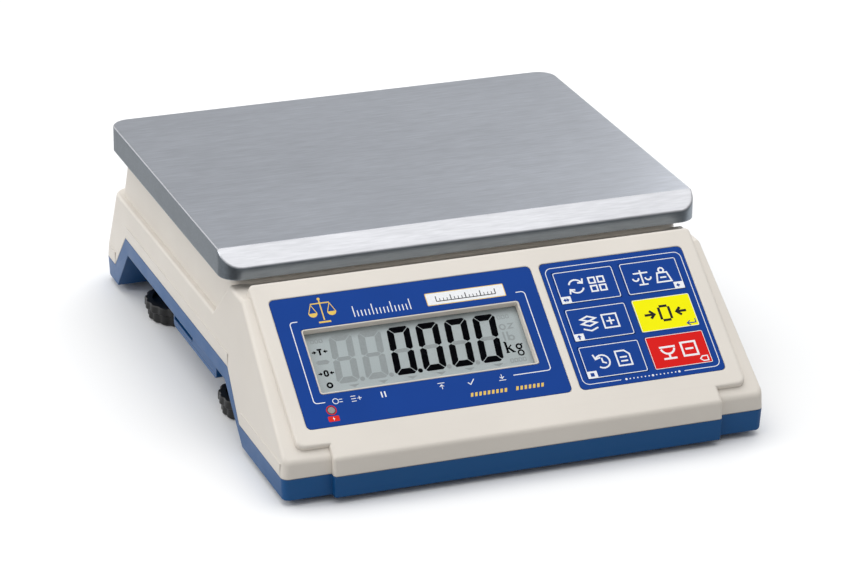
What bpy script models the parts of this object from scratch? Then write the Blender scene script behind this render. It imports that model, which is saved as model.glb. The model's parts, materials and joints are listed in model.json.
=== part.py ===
"""A counting scale: a steel pan on a load cell, in a two-part moulded body with a sloped console.

Metres, +Z up. The origin is on the table under the centre of the body, and -Y is the
operator's side. "Panel" coordinates run on the console's sloped face: u to the right,
v down the slope from the top of the printed labels, w out of the face.
"""

import math

import bmesh
import bpy
from mathutils import Matrix, Vector

GAP = 0.0003  # clearance between neighbouring pieces
WALL = 0.0025  # thickness of both mouldings

# Body
HALF_WIDTH = 0.149  # at the seam between the two mouldings
SIDE_DRAFT = 0.0647  # lean of the upper side walls
BASE_DRAFT = 0.05  # lean of the base's walls
SEAM_Z = 0.0175
BOTTOM_Z = 0.0036
FRONT_Y = -0.1863  # centre part of the front wall
CORNER_FRONT_Y = -0.1811  # front wall beside the centre part
REAR_Y = 0.1863
REAR_BAND_Z = 0.0255  # the rear wall is upright below this and leans above it
REAR_LEAN = 0.325
STEP_X = 0.120  # half width of the front wall's centre part
SHOULDER_Z = 0.0644  # where the upper tower stands on the lower body
LEDGE_Z = 0.0915  # flat between the console's slope and the slant behind it
LEDGE_REAR_Y, SHOULDER_FRONT_Y = -0.0681, -0.0410  # the slant's top and foot
LIP_HEIGHT = 0.008
STEP_LEAN = 0.0006  # how far the centre part leans back over its height
STEP_REACH_V = 0.090  # where the centre part meets the panel's slope
STEP_SINK = 0.00003  # how far its top lies under the face that carries the labels
STEP_RADIUS = 0.0020
RIM_RADIUS = 0.0022
FRONT_CORNER_RADIUS = 0.0045
REAR_CORNER_RADIUS = 0.012

# Hand-hold arch across the underside
ARCH_SEAM_Z = 0.0428
ARCH_FLOOR_Z = 0.0335
ARCH_FRONT_FOOT_Y, ARCH_FRONT_TOP_Y = -0.1002, -0.0735
ARCH_REAR_TOP_Y, ARCH_REAR_FOOT_Y = 0.1403, 0.1599
ARCH_FLOOR_YS = (-0.1047, -0.0697, 0.1333, 0.1573)  # front foot and top, rear top and foot

# Tower under the pan
TOWER_HALF_WIDTH = 0.142
TOWER_FRONT_Y, TOWER_REAR_Y = -0.0707, 0.1698
DECK_Z = 0.095
TOWER_DRAFT = 0.0376
DECK_RADIUS = 0.0045
LEVEL_PLACE = (-0.040, 0.143)
LEVEL_RADIUS = 0.0086

# Console panel
PANEL_SLOPE = math.radians(35.9)
PANEL_Y, PANEL_Z = -0.0983, 0.0917
PLATEAU_HALF_WIDTH = 0.1388
PLATEAU_TOP_V, PLATEAU_FOOT_V = -0.01265, 0.098
PLATEAU_RISE = 0.0034
PLATEAU_RADIUS = 0.0018
POCKET_DEPTH = 0.0008
LABEL_TOP_W = -0.00005
LABEL_BOTTOM_W = -0.0005
LABEL_HEIGHT = 0.087
LABEL_RADIUS = 0.003
DISPLAY_LABEL_U = (-0.130, 0.0316)
KEYPAD_U = (0.0373, 0.129)
WINDOW_U = (-0.1154, 0.0170)
WINDOW_V = (0.0228, 0.0648)
WINDOW_DEPTH = 0.005
LED_U, LED_V = -0.1129, 0.0765
BOARD_TOP_W = -0.012
KEY_COLUMNS = ((0.0435, 0.0817), (0.0862, 0.1228))
KEY_ROWS = ((0.0068, 0.0288), (0.0328, 0.0548), (0.0588, 0.0806))
KEY_TOP_W = 0.0002
KEY_RADIUS = 0.0008

# Weighing pan
PAN_HALF_WIDTH = 0.150
PAN_Y = 0.0493  # centre of the load cell and of the pan's flat top
PAN_FRONT_Y, PAN_REAR_Y = -0.0776, 0.1634
PAN_TOP_Z, PAN_SKIRT_Z = 0.114, 0.0978
PAN_SHEET = 0.0012
PAN_CORNER_RADIUS = 0.012
BEVEL_DEPTH, BEVEL_DROP = 0.0128, 0.0087
SUPPORT_ARM = (0.112, 0.082)  # reach of each arm to its rubber pad, in x and y
SUPPORT_FOOT_Z = 0.0715
ARM_START = 0.022  # distance of each arm's inner end from the middle
ARM_Z = (0.0985, 0.1015)
RIB_HEIGHT = 0.0049
PAD_SEAT_Z = 0.1075
PAD_RADIUS = 0.0070

# Load cell
CELL_LENGTH, CELL_WIDTH, CELL_HEIGHT = 0.130, 0.030, 0.022
CELL_BOTTOM_Z = 0.0449
CELL_SCREW_X, CELL_SCREW_SPREAD = 0.051, 0.007
GAUGE_X, GAUGE_RADIUS = 0.014, 0.0088  # the cell's two thinned sections
M6_CLEARANCE = 0.0033

# Feet
FOOT_X = 0.121
FOOT_YS = {"front": -0.0477, "rear": 0.1064}
FOOT_FLANGE_RADIUS, FOOT_GRIP_RADIUS = 0.0234, 0.0215
FOOT_LOBES = 18
FOOT_LOBE_DEPTH = 0.0011
FOOT_FLANGE_Z, FOOT_TOP_Z = 0.0072, 0.0126
FOOT_GRIP_Z = 0.0006
SOLE_HEIGHT, SOLE_RADIUS = 0.0020, 0.0175
STUD_RADIUS = 0.004

# Battery bay (left) and power bay (right) under the arch
BAY_OUTER_X, BATTERY_BAY_INNER_X, POWER_BAY_INNER_X = 0.1445, 0.036, 0.080
BAY_FRONT_Y, BAY_REAR_Y = -0.0422, 0.0448
BAY_BOTTOM_Z = 0.021
COVER_TOP_Z = 0.0235
BAY_AXIS_Z = 0.0275  # height of the switch and socket
SWITCH_Y, SOCKET_Y = -0.020, 0.022
SWITCH_HALF = (0.0078, 0.0036)  # half the switch body's length and height
ROCKER_PIVOT_X = 0.1432
ROCKER_TILT = math.radians(7)

# Housing screws and the posts that they join
POST_RADIUS, BASE_POST_RADIUS = 0.0042, 0.0048
THREAD_RADIUS, SHANK_HOLE_RADIUS = 0.0020, 0.0021
HEAD_HOLE_RADIUS, HEAD_HOLE_DEPTH = 0.0037, 0.0035
SCREWS = {
    "front_left": (-0.133, -0.152),
    "front_right": (0.133, -0.152),
    "rear_left": (-0.100, 0.172),
    "rear_right": (0.100, 0.172),
}

YZ_FRAME = Matrix(((0, 0, 1, 0), (1, 0, 0, 0), (0, 1, 0, 0), (0, 0, 0, 1)))
PANEL_NORMAL = Vector((0, -math.sin(PANEL_SLOPE), math.cos(PANEL_SLOPE)))
PANEL_UP = Vector((0, math.cos(PANEL_SLOPE), math.sin(PANEL_SLOPE)))
PANEL_FRAME = Matrix.Translation((0, PANEL_Y, PANEL_Z)) @ Matrix.Rotation(PANEL_SLOPE, 4, "X")


# ---------------------------------------------------------------- scene and materials


def clear_scene():
    for obj in list(bpy.data.objects):
        bpy.data.objects.remove(obj, do_unlink=True)


def new_collection(name):
    made = bpy.data.collections.new(name)
    bpy.context.scene.collection.children.link(made)
    return made


def new_material(name, colour, roughness, metallic=0.0):
    made = bpy.data.materials.new(name)
    made.use_nodes = True
    shader = made.node_tree.nodes["Principled BSDF"]
    shader.inputs["Base Color"].default_value = (*colour, 1.0)
    shader.inputs["Roughness"].default_value = roughness
    shader.inputs["Metallic"].default_value = metallic
    return made


def piece(obj, name, finish):
    """Makes obj a sub-part: it gets its name and its own material."""
    obj.name = name
    obj.data.name = name
    colour, roughness, metallic = finish
    obj.data.materials.clear()
    obj.data.materials.append(new_material(name, colour, roughness, metallic))
    return obj


CREAM = ((0.72, 0.69, 0.64), 0.55, 0.0)
BLUE = ((0.05, 0.13, 0.28), 0.5, 0.0)
LABEL_BLUE = ((0.015, 0.06, 0.29), 0.35, 0.0)
YELLOW = ((0.9, 0.8, 0.02), 0.35, 0.0)
RED = ((0.7, 0.02, 0.02), 0.35, 0.0)
BLACK_PLASTIC = ((0.012, 0.012, 0.012), 0.5, 0.0)
RUBBER = ((0.02, 0.02, 0.02), 0.85, 0.0)
STAINLESS = ((0.55, 0.56, 0.58), 0.28, 1.0)
STEEL = ((0.5, 0.5, 0.5), 0.4, 1.0)
ALUMINIUM = ((0.75, 0.75, 0.76), 0.4, 1.0)
CIRCUIT_GREEN = ((0.02, 0.16, 0.06), 0.5, 0.0)
GLASS = ((0.8, 0.82, 0.82), 0.08, 0.0)
LCD_GREY = ((0.36, 0.4, 0.4), 0.3, 0.0)
GREY_PLASTIC = ((0.2, 0.2, 0.2), 0.45, 0.0)
BATTERY_GREY = ((0.08, 0.08, 0.09), 0.5, 0.0)
LIQUID_GREEN = ((0.45, 0.75, 0.1), 0.1, 0.0)


# ---------------------------------------------------------------- shape tools


def new_object(mesh):
    obj = bpy.data.objects.new(mesh.name, mesh)
    PARTS.objects.link(obj)
    return obj


def edit(obj, change):
    """Runs change(bm) on the object's mesh."""
    bm = bmesh.new()
    bm.from_mesh(obj.data)
    change(bm)
    bm.to_mesh(obj.data)
    bm.free()
    return obj


def box(low, high, frame=None):
    mesh = bpy.data.meshes.new("box")
    low, high = Vector(low), Vector(high)
    bm = bmesh.new()
    bmesh.ops.create_cube(bm, size=1.0)
    size = Matrix.Diagonal((*(high - low), 1.0))
    place = Matrix.Translation((low + high) / 2) @ size
    bmesh.ops.transform(bm, matrix=(frame or Matrix()) @ place, verts=bm.verts)
    bm.to_mesh(mesh)
    bm.free()
    return new_object(mesh)


def panel_box(us, vs, ws):
    return box((us[0], -vs[1], ws[0]), (us[1], -vs[0], ws[1]), PANEL_FRAME)


def rod(radius, start, end, segments=24):
    """A round bar from start to end."""
    mesh = bpy.data.meshes.new("rod")
    start, end = Vector(start), Vector(end)
    axis = end - start
    turn = Vector((0, 0, 1)).rotation_difference(axis).to_matrix().to_4x4()
    bm = bmesh.new()
    bmesh.ops.create_cone(
        bm, cap_ends=True, segments=segments, radius1=radius, radius2=radius, depth=axis.length
    )
    bmesh.ops.transform(bm, matrix=Matrix.Translation((start + end) / 2) @ turn, verts=bm.verts)
    bm.to_mesh(mesh)
    bm.free()
    obj = new_object(mesh)
    obj.data.shade_smooth()
    obj.data.set_sharp_from_angle(angle=math.radians(40))
    return obj


def turned(profile, place, steps=24):
    """A profile of (radius, height) points, top to bottom, swept round the upright axis."""
    mesh = bpy.data.meshes.new("turned")
    bm = bmesh.new()
    points = [bm.verts.new((radius, 0, height)) for radius, height in profile]
    for above, below in zip(points, points[1:]):
        bm.edges.new((above, below))
    bm.to_mesh(mesh)
    bm.free()
    obj = new_object(mesh)
    obj.location = place
    screw = obj.modifiers.new("turn", "SCREW")
    screw.steps = steps
    screw.render_steps = steps
    screw.use_merge_vertices = True
    screw.merge_threshold = 0.00001
    screw.use_smooth_shade = True
    return obj


def slab(outlines, low, high, frame=None):
    """Flat closed outlines, the first with the others as holes, as a solid from low to high."""
    curve = bpy.data.curves.new("slab", "CURVE")
    curve.dimensions = "2D"
    curve.fill_mode = "BOTH"
    curve.extrude = (high - low) / 2
    for outline in outlines:
        spline = curve.splines.new("POLY")
        spline.points.add(len(outline) - 1)
        for point, (x, y) in zip(spline.points, outline):
            point.co = (x, y, 0, 1)
        spline.use_cyclic_u = True
    guide = bpy.data.objects.new("slab", curve)
    PARTS.objects.link(guide)
    bpy.context.view_layer.update()
    graph = bpy.context.evaluated_depsgraph_get()
    mesh = bpy.data.meshes.new_from_object(guide.evaluated_get(graph))
    bpy.data.objects.remove(guide, do_unlink=True)
    place = (frame or Matrix()) @ Matrix.Translation((0, 0, (low + high) / 2))
    obj = new_object(mesh)

    def close(bm):
        bmesh.ops.remove_doubles(bm, verts=bm.verts, dist=1e-6)
        bmesh.ops.dissolve_limit(bm, angle_limit=0.001, verts=bm.verts, edges=bm.edges)
        bmesh.ops.transform(bm, matrix=place, verts=bm.verts)
        bmesh.ops.recalc_face_normals(bm, faces=bm.faces)

    return edit(obj, close)


def rectangle(low, high):
    return [low, (high[0], low[1]), high, (low[0], high[1])]


def rounded(corners, radius, segments=4):
    """The outline with each corner replaced by an arc; radius is one value or one for each."""
    outline = []
    for i, corner in enumerate(corners):
        size = radius[i] if isinstance(radius, (list, tuple)) else radius
        here = Vector(corner)
        back = (Vector(corners[i - 1]) - here).normalized()
        onward = (Vector(corners[(i + 1) % len(corners)]) - here).normalized()
        if size <= 0:
            outline.append(tuple(here))
            continue
        half = back.angle(onward) / 2
        centre = here + (back + onward).normalized() * (size / math.sin(half))
        start = here + back * (size / math.tan(half)) - centre
        turn = (math.pi - 2 * half) * (-1 if back.cross(onward) > 0 else 1)
        for step in range(segments + 1):
            angle = turn * step / segments
            spun = Matrix.Rotation(angle, 2) @ start
            outline.append(tuple(centre + spun))
    return outline


def panel_slab(us, vs, ws, radius=0.0, holes=(), segments=4):
    """A slab on the console's face, with rectangular holes given as (us, vs, radius)."""
    outlines = [rounded(rectangle((us[0], -vs[1]), (us[1], -vs[0])), radius, segments)]
    for hole_us, hole_vs, hole_radius in holes:
        corners = rectangle((hole_us[0], -hole_vs[1]), (hole_us[1], -hole_vs[0]))
        outlines.append(rounded(corners, hole_radius, 2))
    return slab(outlines, ws[0], ws[1], PANEL_FRAME)


def bevel(obj, width, segments, chosen):
    """Rounds the edges for which chosen(edge) is true."""

    def change(bm):
        edges = [edge for edge in bm.edges if len(edge.link_faces) == 2 and chosen(edge)]
        bmesh.ops.bevel(
            bm, geom=edges, offset=width, segments=segments, profile=0.5, affect="EDGES"
        )
        bmesh.ops.remove_doubles(bm, verts=bm.verts, dist=1e-6)

    return edit(obj, change)


def move_points(obj, rule):
    """Moves each vertex to rule(x, y, z)."""

    def change(bm):
        for vert in bm.verts:
            vert.co = Vector(rule(*vert.co))

    return edit(obj, change)


def combine(obj, tool, operation):
    modifier = obj.modifiers.new(operation.lower(), "BOOLEAN")
    modifier.operation = operation
    modifier.object = tool
    PARTS.objects.unlink(tool)
    CUTTERS.objects.link(tool)
    tool.hide_render = True
    tool.display_type = "WIRE"
    return obj


def cut(obj, *tools):
    for tool in tools:
        combine(obj, tool, "DIFFERENCE")
    return obj


def join(obj, *tools):
    for tool in tools:
        combine(obj, tool, "UNION")
    return obj


def origin_at(obj, point):
    """Moves the object's origin to a world point and leaves its shape where it is."""
    shift = Vector(point) - obj.location
    obj.data.transform(Matrix.Translation(-shift))
    obj.location = point
    return obj


def smooth(obj, degrees=35):
    obj.data.shade_smooth()
    obj.data.set_sharp_from_angle(angle=math.radians(degrees))
    return obj


def panel_point(u, v, w):
    return Vector((u, PANEL_Y, PANEL_Z)) - PANEL_UP * v + PANEL_NORMAL * w


def plateau_z(y, w=0.0):
    """Height of the panel plane, or of the plane w above it, at y."""
    return PANEL_Z + (y - PANEL_Y) * math.tan(PANEL_SLOPE) + w / math.cos(PANEL_SLOPE)


def plateau_y(z, w=0.0):
    return PANEL_Y + (z - w / math.cos(PANEL_SLOPE) - PANEL_Z) / math.tan(PANEL_SLOPE)


def cable(name, points, radius, finish):
    """A wire along a smooth path through the points."""
    curve = bpy.data.curves.new(name, "CURVE")
    curve.dimensions = "3D"
    curve.bevel_depth = radius
    curve.bevel_resolution = 2
    curve.use_fill_caps = True
    path = smooth_path([Vector(point) for point in points])
    spline = curve.splines.new("POLY")
    spline.points.add(len(path) - 1)
    for point, place in zip(spline.points, path):
        point.co = (*place, 1)
    obj = bpy.data.objects.new(name, curve)
    PARTS.objects.link(obj)
    return piece(obj, name, finish)


def smooth_path(points, steps=4):
    """Catmull-Rom points through the given ones."""
    padded = [2 * points[0] - points[1], *points, 2 * points[-1] - points[-2]]
    path = [points[0]]
    for a, b, c, d in zip(padded, padded[1:], padded[2:], padded[3:]):
        for step in range(1, steps + 1):
            t = step / steps
            path.append(
                0.5 * (2 * b + (c - a) * t + (2 * a - 5 * b + 4 * c - d) * t**2
                       + (3 * b - a - 3 * c + d) * t**3)
            )
    return path


# ---------------------------------------------------------------- edge choices


def is_rim(edge):
    """An edge between a wall and a face that looks upward."""
    steep, flat = sorted(face.normal.z for face in edge.link_faces)
    return abs(steep) < 0.35 and flat > 0.5


def is_upright_corner(edge):
    ends = [vert.co for vert in edge.verts]
    along = (ends[1] - ends[0]).normalized()
    walls = all(abs(face.normal.z) < 0.4 for face in edge.link_faces)
    turn = edge.calc_face_angle(0) > math.radians(45)
    return walls and turn and abs(along.z) > 0.8


# ---------------------------------------------------------------- upper housing


def side_profile(inset):
    """Outline of the lower body and console seen from the side, moved in by inset."""
    slope_w = -PLATEAU_RISE - inset
    ledge = LEDGE_Z - inset
    front = CORNER_FRONT_Y + inset
    rear_top = REAR_Y - inset - REAR_LEAN * (SHOULDER_Z - REAR_BAND_Z)
    return [
        (front, plateau_z(front, slope_w)),
        (plateau_y(ledge, slope_w), ledge),
        (LEDGE_REAR_Y - inset, ledge),
        (SHOULDER_FRONT_Y - inset, SHOULDER_Z - inset),
        (rear_top, SHOULDER_Z - inset),
        (REAR_Y - inset, REAR_BAND_Z),
    ]


def drafted(obj, half_width):
    """Leans the side walls in with height above the seam."""

    def rule(x, y, z):
        lean = SIDE_DRAFT * (z - SEAM_Z)
        return (x * (half_width - lean) / half_width, y, z)

    return move_points(obj, rule)


def round_corners(body, inset):
    """Rounds the upright corners of a body's walls, or of the hollow an inset inside it."""
    front, rear = FRONT_CORNER_RADIUS - inset, REAR_CORNER_RADIUS - inset
    bevel(body, front, 8, lambda e: is_upright_corner(e) and e.verts[0].co.y < -0.15)
    return bevel(body, rear, 8, lambda e: is_upright_corner(e) and e.verts[0].co.y > 0.165)


def lower_body():
    arch = [
        (REAR_Y, SEAM_Z),
        (ARCH_REAR_FOOT_Y, SEAM_Z),
        (ARCH_REAR_TOP_Y, ARCH_SEAM_Z),
        (ARCH_FRONT_TOP_Y, ARCH_SEAM_Z),
        (ARCH_FRONT_FOOT_Y, SEAM_Z),
        (CORNER_FRONT_Y, SEAM_Z),
    ]
    body = slab([side_profile(0.0) + arch], -HALF_WIDTH, HALF_WIDTH, YZ_FRAME)
    drafted(body, HALF_WIDTH)
    round_corners(body, 0.0)
    return bevel(body, RIM_RADIUS, 4, is_rim)


def tower(inset, low, high):
    corners = rectangle(
        (-TOWER_HALF_WIDTH + inset, TOWER_FRONT_Y + inset),
        (TOWER_HALF_WIDTH - inset, TOWER_REAR_Y - inset),
    )
    solid = slab([rounded(corners, REAR_CORNER_RADIUS - inset, 8)], low, high)

    def lean(x, y, z):
        rise = z - SHOULDER_Z
        narrow = 1 - TOWER_DRAFT * rise / TOWER_HALF_WIDTH
        return (x * narrow, y - (REAR_LEAN * rise if y > PAN_Y else 0.0), z)

    return move_points(solid, lean)


def plateau():
    us, vs = (-PLATEAU_HALF_WIDTH, PLATEAU_HALF_WIDTH), (PLATEAU_TOP_V, PLATEAU_FOOT_V)
    corners = rectangle((us[0], -vs[1]), (us[1], -vs[0]))
    outline = rounded(corners, [0.005, 0.005, 0.003, 0.003], 6)
    solid = slab([outline], -0.012, 0.0, PANEL_FRAME)
    return bevel(solid, PLATEAU_RADIUS, 3, is_panel_rim)


def is_panel_rim(edge):
    """An edge of the face that carries the labels."""
    face = panel_point(0, 0, 0)
    on_face = all(abs((vert.co - face).dot(PANEL_NORMAL)) < 1e-5 for vert in edge.verts)
    return on_face and edge.calc_face_angle(0) > math.radians(60)


def front_step(inset):
    """The centre of the front wall, which stands forward of the corners."""
    front = FRONT_Y + inset
    top_y = front + STEP_LEAN
    back = panel_point(0, STEP_REACH_V, -inset - STEP_SINK)
    foot = 0.0 if inset else SEAM_Z
    top_z = plateau_z(top_y, -inset - STEP_SINK)
    outline = [(front, foot), (top_y, top_z), (back.y, back.z), (back.y, foot)]
    return slab([outline], -STEP_X + inset, STEP_X - inset, YZ_FRAME)


def make_upper_housing():
    housing = lower_body()
    upper_tower = tower(0.0, SHOULDER_Z - 0.006, DECK_Z)
    bevel(upper_tower, DECK_RADIUS, 4, is_deck_rim)
    step = bevel(front_step(0.0), STEP_RADIUS, 4, is_step_edge)
    join(housing, upper_tower, plateau(), step, *lip_pads())
    inner_profile = side_profile(WALL)
    inner_profile += [(REAR_Y - WALL, -0.01), (CORNER_FRONT_Y + WALL, -0.01)]
    half = HALF_WIDTH - WALL
    inner = drafted(slab([inner_profile], -half, half, YZ_FRAME), half)
    round_corners(inner, WALL)
    inner_tower = tower(WALL, SHOULDER_Z - 0.008, DECK_Z - WALL)
    reach = PLATEAU_HALF_WIDTH - 0.003
    vs = (PLATEAU_TOP_V + 0.00815, PLATEAU_FOOT_V - WALL)
    under_plateau = panel_slab((-reach, reach), vs, (-0.009, -0.003))
    cut(housing, inner, inner_tower, under_plateau, front_step(WALL))
    join(housing, window_well(), *housing_posts(), *board_posts())
    cut(housing, *panel_openings(), *deck_openings(), *post_holes())
    return piece(smooth(housing), "upper_housing", CREAM)


def is_deck_rim(edge):
    on_deck = all(vert.co.z > DECK_Z - 1e-5 for vert in edge.verts)
    return on_deck and edge.calc_face_angle(0) > 0.5


def lip_pads():
    """Upright bands on the leaning side walls, just over the seam's level stretches."""
    stretches = (
        (CORNER_FRONT_Y + FRONT_CORNER_RADIUS + 0.001, ARCH_FRONT_FOOT_Y, SEAM_Z),
        (ARCH_FRONT_TOP_Y, ARCH_REAR_TOP_Y, ARCH_SEAM_Z),
        (ARCH_REAR_FOOT_Y, REAR_Y - REAR_CORNER_RADIUS - 0.001, SEAM_Z),
    )
    pads = []
    for start, end, seam in stretches:
        wall = HALF_WIDTH - SIDE_DRAFT * (seam - SEAM_Z)
        for side in (-1, 1):
            inner, outer = sorted((side * (wall - 0.0015), side * (wall + 0.00003)))
            pads.append(box((inner, start, seam + 0.0002), (outer, end, seam + LIP_HEIGHT)))
    return pads


def is_step_edge(edge):
    """The front step's upper and side edges, not the ones it shares with the seam."""
    low = min(vert.co.z for vert in edge.verts)
    high = max(vert.co.z for vert in edge.verts)
    forward = max(vert.co.y for vert in edge.verts) < -0.165 or low > SEAM_Z + 0.005
    return forward and high > SEAM_Z + 0.001 and edge.calc_face_angle(0) > 0.5 and (
        min(vert.co.y for vert in edge.verts) < -0.18
    )


def housing_posts():
    """Posts from the seam to the ceiling, which take the housing screws."""
    posts = []
    for x, y in SCREWS.values():
        if y < 0:
            top = plateau_z(y, -PLATEAU_RISE - 0.001)
        else:
            top = SHOULDER_Z - 0.008
        posts.append(rod(POST_RADIUS, (x, y, SEAM_Z), (x, y, top), 12))
    return posts


def board_posts():
    """Short posts on the panel's underside that carry the main board."""
    places = (
        (-0.1185, 0.0135),
        (-0.104, 0.0765),
        (0.030, 0.0135),
        (0.030, 0.0765),
        (0.1295, 0.014),
    )
    low, high = BOARD_TOP_W + GAP, -0.002
    return [rod(0.0025, panel_point(u, v, low), panel_point(u, v, high), 12) for u, v in places]


def post_holes():
    return [rod(THREAD_RADIUS, (x, y, 0), (x, y, 0.032), 12) for x, y in SCREWS.values()]


def window_well():
    """The walls that drop from the display opening to the display."""
    us = (WINDOW_U[0] - 0.002, WINDOW_U[1] + 0.002)
    vs = (WINDOW_V[0] - 0.002, WINDOW_V[1] + 0.002)
    return panel_slab(us, vs, (-WINDOW_DEPTH, -0.0015))


def label_us(us, edge):
    return (us[0] - edge, us[1] + edge)


def panel_openings():
    """The label pockets, display opening, keypad opening and lamp hole."""
    vs = (-GAP, LABEL_HEIGHT + GAP)
    depth = (-POCKET_DEPTH, 0.01)
    rim = (label_us(WINDOW_U, 0.0008), label_us(WINDOW_V, 0.0008), 0.0015)
    pockets = [
        panel_slab(label_us(DISPLAY_LABEL_U, GAP), vs, depth, LABEL_RADIUS, [rim]),
        panel_slab(label_us(KEYPAD_U, GAP), vs, depth, LABEL_RADIUS),
    ]
    window = panel_slab(WINDOW_U, WINDOW_V, (-0.02, 0.02), 0.001)
    keypad = panel_slab(label_us(KEYPAD_U, -0.003), (0.003, LABEL_HEIGHT - 0.003), (-0.02, 0.02))
    lamp = rod(0.0028, panel_point(LED_U, LED_V, -0.01), panel_point(LED_U, LED_V, 0.01), 16)
    return [*pockets, window, keypad, lamp]


def deck_openings():
    """Holes in the deck for the pan support's post and for the level."""
    post = box((0.031, 0.0305, 0.080), (0.071, 0.068, 0.12))
    level = rod(LEVEL_RADIUS + 0.0004, (*LEVEL_PLACE, 0.08), (*LEVEL_PLACE, 0.12), 24)
    return [post, level]


# ---------------------------------------------------------------- base


def base_profile(inset):
    """Side outline of the base below the seam, moved in by inset, with the arch floor."""
    floor = ARCH_FLOOR_Z + inset
    bottom = BOTTOM_Z + inset
    reach = 0.5 * inset
    front_foot, front_top, rear_top, rear_foot = ARCH_FLOOR_YS
    return [
        (CORNER_FRONT_Y + inset, bottom),
        (front_foot - reach, bottom),
        (front_top - reach, floor),
        (rear_top + reach, floor),
        (rear_foot + reach, bottom),
        (REAR_Y - inset, bottom),
    ]


def base_top():
    """The base's top edge, a gap under the seam."""
    top = SEAM_Z - GAP
    arch_top = ARCH_SEAM_Z - GAP
    shift = GAP / 2
    return [
        (REAR_Y, top),
        (ARCH_REAR_FOOT_Y - shift, top),
        (ARCH_REAR_TOP_Y - shift, arch_top),
        (ARCH_FRONT_TOP_Y + shift, arch_top),
        (ARCH_FRONT_FOOT_Y + shift, top),
        (CORNER_FRONT_Y, top),
    ]


def tapered(obj):
    """Leans the base's walls in below the seam, and with the upper walls over the arch."""

    def rule(x, y, z):
        lean = BASE_DRAFT * max(0.0, SEAM_Z - z) + SIDE_DRAFT * max(0.0, z - SEAM_Z)
        away = lean if y < -0.17 else (-lean if y > 0.17 else 0.0)
        return (x * (HALF_WIDTH - lean) / HALF_WIDTH, y + away, z)

    return move_points(obj, rule)


def base_outer():
    body = slab([base_profile(0.0) + base_top()], -HALF_WIDTH, HALF_WIDTH, YZ_FRAME)
    round_corners(body, 0.0)
    bevel(body, 0.0012, 2, is_bottom_rim)
    return tapered(body)


def is_bottom_rim(edge):
    on_bottom = all(vert.co.z < BOTTOM_Z + 1e-5 for vert in edge.verts)
    return on_bottom and edge.calc_face_angle(0) > 0.3


def base_front_step():
    outline = rectangle((FRONT_Y, BOTTOM_Z), (-0.17, SEAM_Z - GAP))
    step = slab([outline], -STEP_X, STEP_X, YZ_FRAME)
    return tapered(bevel(step, 0.0012, 2, lambda e: is_bottom_rim(e) or is_front_upright(e)))


def is_front_upright(edge):
    ends = [vert.co for vert in edge.verts]
    return all(end.y < FRONT_Y + 1e-5 for end in ends) and abs(ends[0].z - ends[1].z) > 0.005


def make_base_housing():
    base = base_outer()
    bays = [
        bay(-BAY_OUTER_X, -BATTERY_BAY_INNER_X),
        bay(POWER_BAY_INNER_X, BAY_OUTER_X),
    ]
    join(base, base_front_step(), *bays)
    top = 0.06
    inner_profile = base_profile(WALL) + [(REAR_Y - WALL, top), (CORNER_FRONT_Y + WALL, top)]
    half = HALF_WIDTH - WALL
    step_low = (-STEP_X + WALL, FRONT_Y + WALL + STEP_LEAN, BOTTOM_Z + WALL)
    step_hollow = box(step_low, (STEP_X - WALL, -0.16, top))
    hollow = slab([inner_profile], -half + 0.001, half - 0.001, YZ_FRAME)
    cut(base, round_corners(hollow, WALL), step_hollow)
    cut(base, battery_hollow(), power_hollow(), *power_openings(), grip_slot())
    join(base, *base_posts(), *foot_bosses())
    cut(base, *screw_holes(), *stud_holes())
    return piece(smooth(base), "base_housing", BLUE)


def bay(low_x, high_x):
    """A box that hangs under the arch floor."""
    solid = box((low_x, BAY_FRONT_Y, BAY_BOTTOM_Z), (high_x, BAY_REAR_Y, ARCH_FLOOR_Z + 0.001))
    return bevel(solid, 0.003, 3, is_bay_edge)


def is_bay_edge(edge):
    """The bay's front and rear bottom edges."""
    low = all(vert.co.z < BAY_BOTTOM_Z + 1e-5 for vert in edge.verts)
    return low and abs(edge.verts[0].co.y - edge.verts[1].co.y) < 1e-5


def battery_hollow():
    return box(
        (-BAY_OUTER_X + WALL, BAY_FRONT_Y + WALL, BAY_BOTTOM_Z - 0.01),
        (-BATTERY_BAY_INNER_X - WALL, BAY_REAR_Y - WALL, 0.05),
    )


def grip_slot():
    """The slot in the battery bay's outer wall, and the way out for the sliding cover."""
    slot = box((-0.15, 0.0058, 0.0255), (-BAY_OUTER_X + 0.005, 0.0428, 0.0290))
    gate = box(
        (-0.15, BAY_FRONT_Y + WALL, BAY_BOTTOM_Z - 0.01),
        (-BAY_OUTER_X + 0.005, BAY_REAR_Y - WALL, COVER_TOP_Z + GAP),
    )
    return join(slot, gate)


def power_hollow():
    return box(
        (POWER_BAY_INNER_X + WALL, BAY_FRONT_Y + WALL, BAY_BOTTOM_Z + WALL),
        (BAY_OUTER_X - WALL, BAY_REAR_Y - WALL, 0.05),
    )


def power_openings():
    """Openings in the power bay's outer wall for the switch and the supply socket."""
    switch = switch_box((0.13, 0.16), 0.0004)
    socket = rod(0.0045, (0.13, SOCKET_Y, BAY_AXIS_Z), (0.16, SOCKET_Y, BAY_AXIS_Z), 20)
    return [switch, socket]


def base_posts():
    low, high = BOTTOM_Z + 0.001, SEAM_Z - GAP
    return [rod(BASE_POST_RADIUS, (x, y, low), (x, y, high), 16) for x, y in SCREWS.values()]


def screw_holes():
    holes = []
    for x, y in SCREWS.values():
        holes.append(rod(SHANK_HOLE_RADIUS, (x, y, 0), (x, y, 0.03), 12))
        holes.append(rod(HEAD_HOLE_RADIUS, (x, y, 0), (x, y, BOTTOM_Z + HEAD_HOLE_DEPTH), 16))
    return holes


def foot_places():
    for side, x in (("left", -FOOT_X), ("right", FOOT_X)):
        for end, y in FOOT_YS.items():
            yield f"{end}_{side}", x, y


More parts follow.
